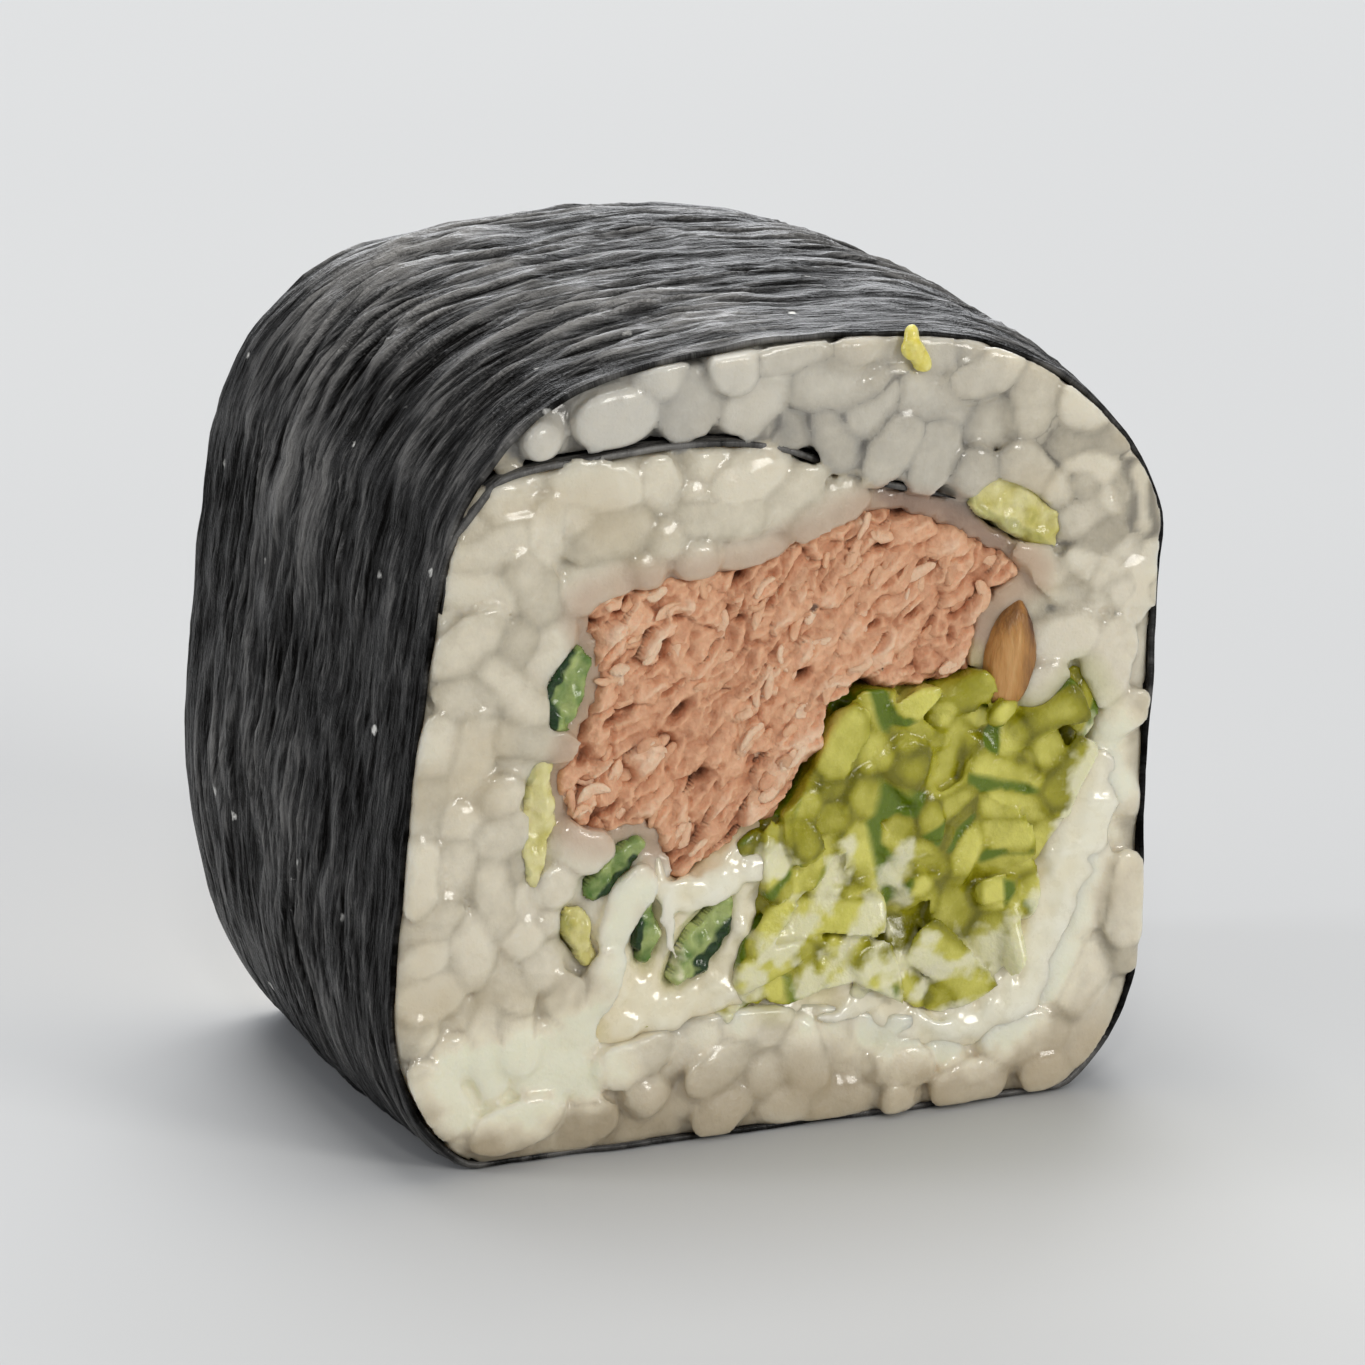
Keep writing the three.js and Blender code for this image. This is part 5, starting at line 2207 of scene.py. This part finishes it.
@dataclass
class LooseShreds:
    """The shreds that lie apart from the bundle, each running through the roll and cut across."""

    section: CutSection
    pale: ShredFinish = ShredFinish(
        "pale_shred", (236, 228, 168), (210, 200, 112), (160, 154, 58), (96, 108, 34))
    peel: ShredFinish = ShredFinish(
        "peel_shred", (176, 190, 120), (88, 122, 50), (40, 76, 24), (26, 58, 16))
    pale_nodes: tuple[str, ...] = ("strand_top", "strand_left", "strand_olive")
    washed_nodes: tuple[str, ...] = ("strand_slant", "strand_left")
    washed: float = 0.4
    rind: Pair = (0.35, 0.9)
    edge: Pair = (1.5, 0.36)
    step: float = 0.12

    def _draft(self, plan: StrandPlan, seed: int) -> MeshDraft:
        """Mesh one shred from cut to cut.

        Args:
            plan: Where it crosses the cut.
            seed: Number that sets its small differences apart.

        Returns:
            The shred.
        """
        region = DistanceMap.of_outline(plan.outline()).ruffled(*self.edge, 190 + seed)

        def height(places: Array, face: Face) -> Array:
            """How far the cut end stands out.

            Args:
                places: Section points.
                face: The cut face.

            Returns:
                Height of each point, in millimetres.
            """
            rough = 0.2 * Clouds.layered(places, 1.0, 195 + seed + face.seed)
            rough += 0.12 * Clouds.smooth(places, (0.45, 1.6), 196 + seed)
            return rough - 0.02 - 0.3 * (1 - smoothstep(region.at(places), 0.0, 0.25)) ** 2

        draft = ReliefBar(region, self.step).draft(height)
        places = draft.points[:, CUT]
        turn = math.radians(plan.turn + (90 if plan.across > plan.up else 0))
        side = (places - places.mean(axis=0)) @ np.array([math.cos(turn), math.sin(turn)])
        side = side / min(plan.across, plan.up) + 0.5 * Clouds.layered(places, 1.2, 198 + seed, 2)
        tone = 0.55 + 0.5 * Clouds.layered(places, 1.1, 197 + seed)
        tone += self.washed * (plan.node in self.washed_nodes)
        rind = self.rind[plan.node not in self.pale_nodes]
        ragged = 0.5 * Clouds.layered(places, 0.9, 199)
        milky = smoothstep(self.section.smear_map.at(places) + ragged, -0.2, 0.7)
        return draft.marked(tone=tone, peel=rind * smoothstep(-side, 0.1, 0.6), milky=milky)

    def build(self) -> None:
        """Make every loose shred."""
        materials = {finish.name: finish.material() for finish in (self.pale, self.peel)}
        for seed, plan in enumerate(self.section.strands):
            kind = (self.pale if plan.node in self.pale_nodes else self.peel).name
            name = plan.node.replace("strand", "shred")
            self._draft(plan, seed).built(name, materials[kind], kind, [plan.node])


@dataclass
class TanSeed:
    """The seed beside the tuna, on the front cut only."""

    section: CutSection
    finish: SeedFinish = SeedFinish()
    half_depth: float = 2.4
    sunk: float = 1.0
    longer: float = 1.36
    wider: float = 1.34
    keel_height: float = 0.22
    keel_width: float = 0.28

    def build(self) -> None:
        """Make the seed: a flat drop with a keel along it."""
        plan = self.section.seed_plan
        turn = math.radians(plan.turn)
        up = np.array([-math.sin(turn), 0.0, math.cos(turn)])
        across = np.array([math.cos(turn), 0.0, math.sin(turn)])
        share = -np.cos(np.linspace(0, np.pi, 33))
        centre = np.array([plan.centre[0] + SIDE_SHIFT, self.half_depth - self.sunk, plan.centre[1]])
        line = centre + share[:, None] * up * plan.up * self.longer
        body = self.wider * (1 - np.abs(share[1:-1]) ** 1.9) ** 0.6 * (1 - 0.2 * share[1:-1])
        draft = swept(line, across, np.column_stack([plan.across * body, self.half_depth * body]), 24, 2.1)
        spots = draft.points - centre
        keel = np.exp(-((spots @ across) / self.keel_width) ** 2)
        draft.points[:, 1] -= self.keel_height * keel * (spots[:, 1] < 0)
        draft.points += 0.05 * Clouds.layered(draft.points, 0.8, 200)[:, None]
        draft.points[:, 1] = sliced(draft.points[:, 1], -0.35, 0.5) - HALF_LENGTH
        side = spots @ across / plan.across
        # Darker towards the top end as a painted shadow, darker on one side and paler along the keel.
        tone = 0.4 + 0.5 * smoothstep(spots @ up, 0.6, 2.4) + 0.35 * smoothstep(side, 0.0, 0.7) - 0.25 * keel
        draft.marked(tone=tone).built("tan_seed", self.finish.material(), "seed", ["seed"])


@dataclass
class Crumb:
    """A scrap of pale shred that sticks to the edge of the nori over the front cut."""

    section: CutSection
    finish: ShredFinish = ShredFinish("crumb", (244, 234, 150), (230, 214, 92), (194, 174, 50), (150, 146, 40))
    strips: tuple[RodPlan, ...] = (
        RodPlan(7.4, 42.5, -0.4, 70.0, 20.0, 0.5, 0.5), RodPlan(7.8, 41.8, -0.5, -60.0, 10.0, 0.6, 0.55),
    )
    voxel: float = 0.08

    def build(self) -> None:
        """Make the scrap from a few short strips."""
        drafts = []
        for number, plan in enumerate(self.strips):
            way = plan.way()
            share = -np.cos(np.linspace(0, np.pi, 13))
            line = plan.middle() + share[:, None] * way * (plan.half + plan.radius)
            body = plan.radius * (1 - np.abs(share[1:-1]) ** 3) ** 0.5
            draft = swept(line, np.array([-way[2], 0.2, way[0]]), np.column_stack([body, 0.8 * body]), 10)
            draft.points += 0.1 * Clouds.drift(draft.points, 0.8, 210 + number)
            draft.points[:, 1] -= HALF_LENGTH
            drafts.append(draft)
        scrap = fused(MeshDraft.joined(drafts), self.voxel)
        tone = 0.6 + 0.4 * Clouds.layered(scrap.points, 0.5, 214)
        scrap.marked(tone=tone, peel=0.0, milky=0.0).built("crumb", self.finish.material(), "pale_shred")


# -- Studio ----------------------------------------


@dataclass(frozen=True)
class SoftLight:
    """A square soft light: its place and side in metres, its watts and its screen colour."""

    name: str
    spot: Spot
    size: float
    watts: float
    colour: Colour

    def hang(self) -> None:
        """Hang the light so that it points at the piece, out of the camera's sight."""
        data = bpy.data.lights.new(self.name, "AREA")
        data.size, data.energy, data.color = self.size, self.watts, linear(self.colour)[:3]
        lamp = placed(self.name, data)
        lamp.location = self.spot
        lamp.visible_camera = False
        lamp.rotation_euler = (Vector((0, 0, 0.02)) - Vector(self.spot)).to_track_quat("-Z", "Y").to_euler()


@dataclass
class Studio:
    """Pale floor, soft light and a camera at the photograph's angle."""

    finish: FloorFinish = FloorFinish()
    lights: tuple[SoftLight, ...] = (
        SoftLight("top_light", (0.1, 0.35, 1.2), 0.8, 9.0, (255, 253, 250)),
        SoftLight("back_light", (0.75, 1.9, 0.75), 1.2, 20.0, (250, 252, 255)),
        SoftLight("front_light", (0.72, -1.4, 0.62), 0.5, 8.6, (255, 252, 246)),
        SoftLight("glint_light", (-0.45, -1.1, 0.95), 0.16, 2.0, (255, 252, 246)),
        SoftLight("side_light", (-1.3, 0.5, 0.55), 0.3, 3.5, (252, 252, 255)),
    )
    sky: Colour = (226, 230, 236)
    sky_strength: float = 0.4
    target: Spot = (0.9, 0.0, 20.5)
    azimuth: float = -23.5
    elevation: float = 16.5
    distance: float = 800.0
    lens: float = 394.0
    sensor: float = 36.0
    clip: Pair = (0.01, 20.0)
    floor_half: float = 3.0
    floor_count: int = 13
    floor_drop: float = 0.0001

    def _floor(self) -> None:
        """Lay the floor."""
        spread = np.linspace(-self.floor_half, self.floor_half, self.floor_count)
        xs, ys = (part.ravel() for part in np.meshgrid(spread, spread, indexing="ij"))
        points = np.column_stack([xs, ys, np.full(len(xs), -self.floor_drop)])
        quads = grid_quads(self.floor_count, self.floor_count)[:, ::-1]
        mesh = MeshDraft(points, quads).mesh("floor", 1.0)
        mesh.materials.append(self.finish.material())
        floor = placed("floor", mesh)

    def _camera(self) -> None:
        """Set up the camera."""
        turn, rise = math.radians(self.azimuth), math.radians(self.elevation)
        back = Vector((math.sin(turn) * math.cos(rise), -math.cos(turn) * math.cos(rise), math.sin(rise)))
        data = bpy.data.cameras.new("camera")
        data.lens, data.sensor_width = self.lens, self.sensor
        data.clip_start, data.clip_end = self.clip
        camera = placed("camera", data)
        camera.location = (Vector(self.target) + back * self.distance) * MM
        camera.rotation_euler = back.to_track_quat("Z", "Y").to_euler()
        bpy.context.scene.camera = camera

    def build(self) -> None:
        """Set up the floor, the lights, the surroundings and the camera."""
        self._floor()
        for light in self.lights:
            light.hang()
        world = bpy.data.worlds.new("surroundings")
        world.use_nodes = True
        sky = world.node_tree.nodes["Background"].inputs
        sky["Color"].default_value, sky["Strength"].default_value = linear(self.sky), self.sky_strength
        bpy.context.scene.world = world
        bpy.context.scene.view_settings.view_transform = "Standard"
        self._camera()


def main() -> None:
    """Build every part of the roll, then the studio."""
    logging.basicConfig(level=logging.INFO, format="%(name)s %(message)s")
    section = CutSection()
    for part in (NoriSheet(section), RiceBed(section), TunaFilling(section), CucumberBundle(section),
                 CheeseSpread(section), LooseShreds(section), TanSeed(section), Crumb(section), Studio()):
        part.build()
        LOG.info("%s done", type(part).__name__)
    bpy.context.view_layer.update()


if __name__ == "__main__":
    main()
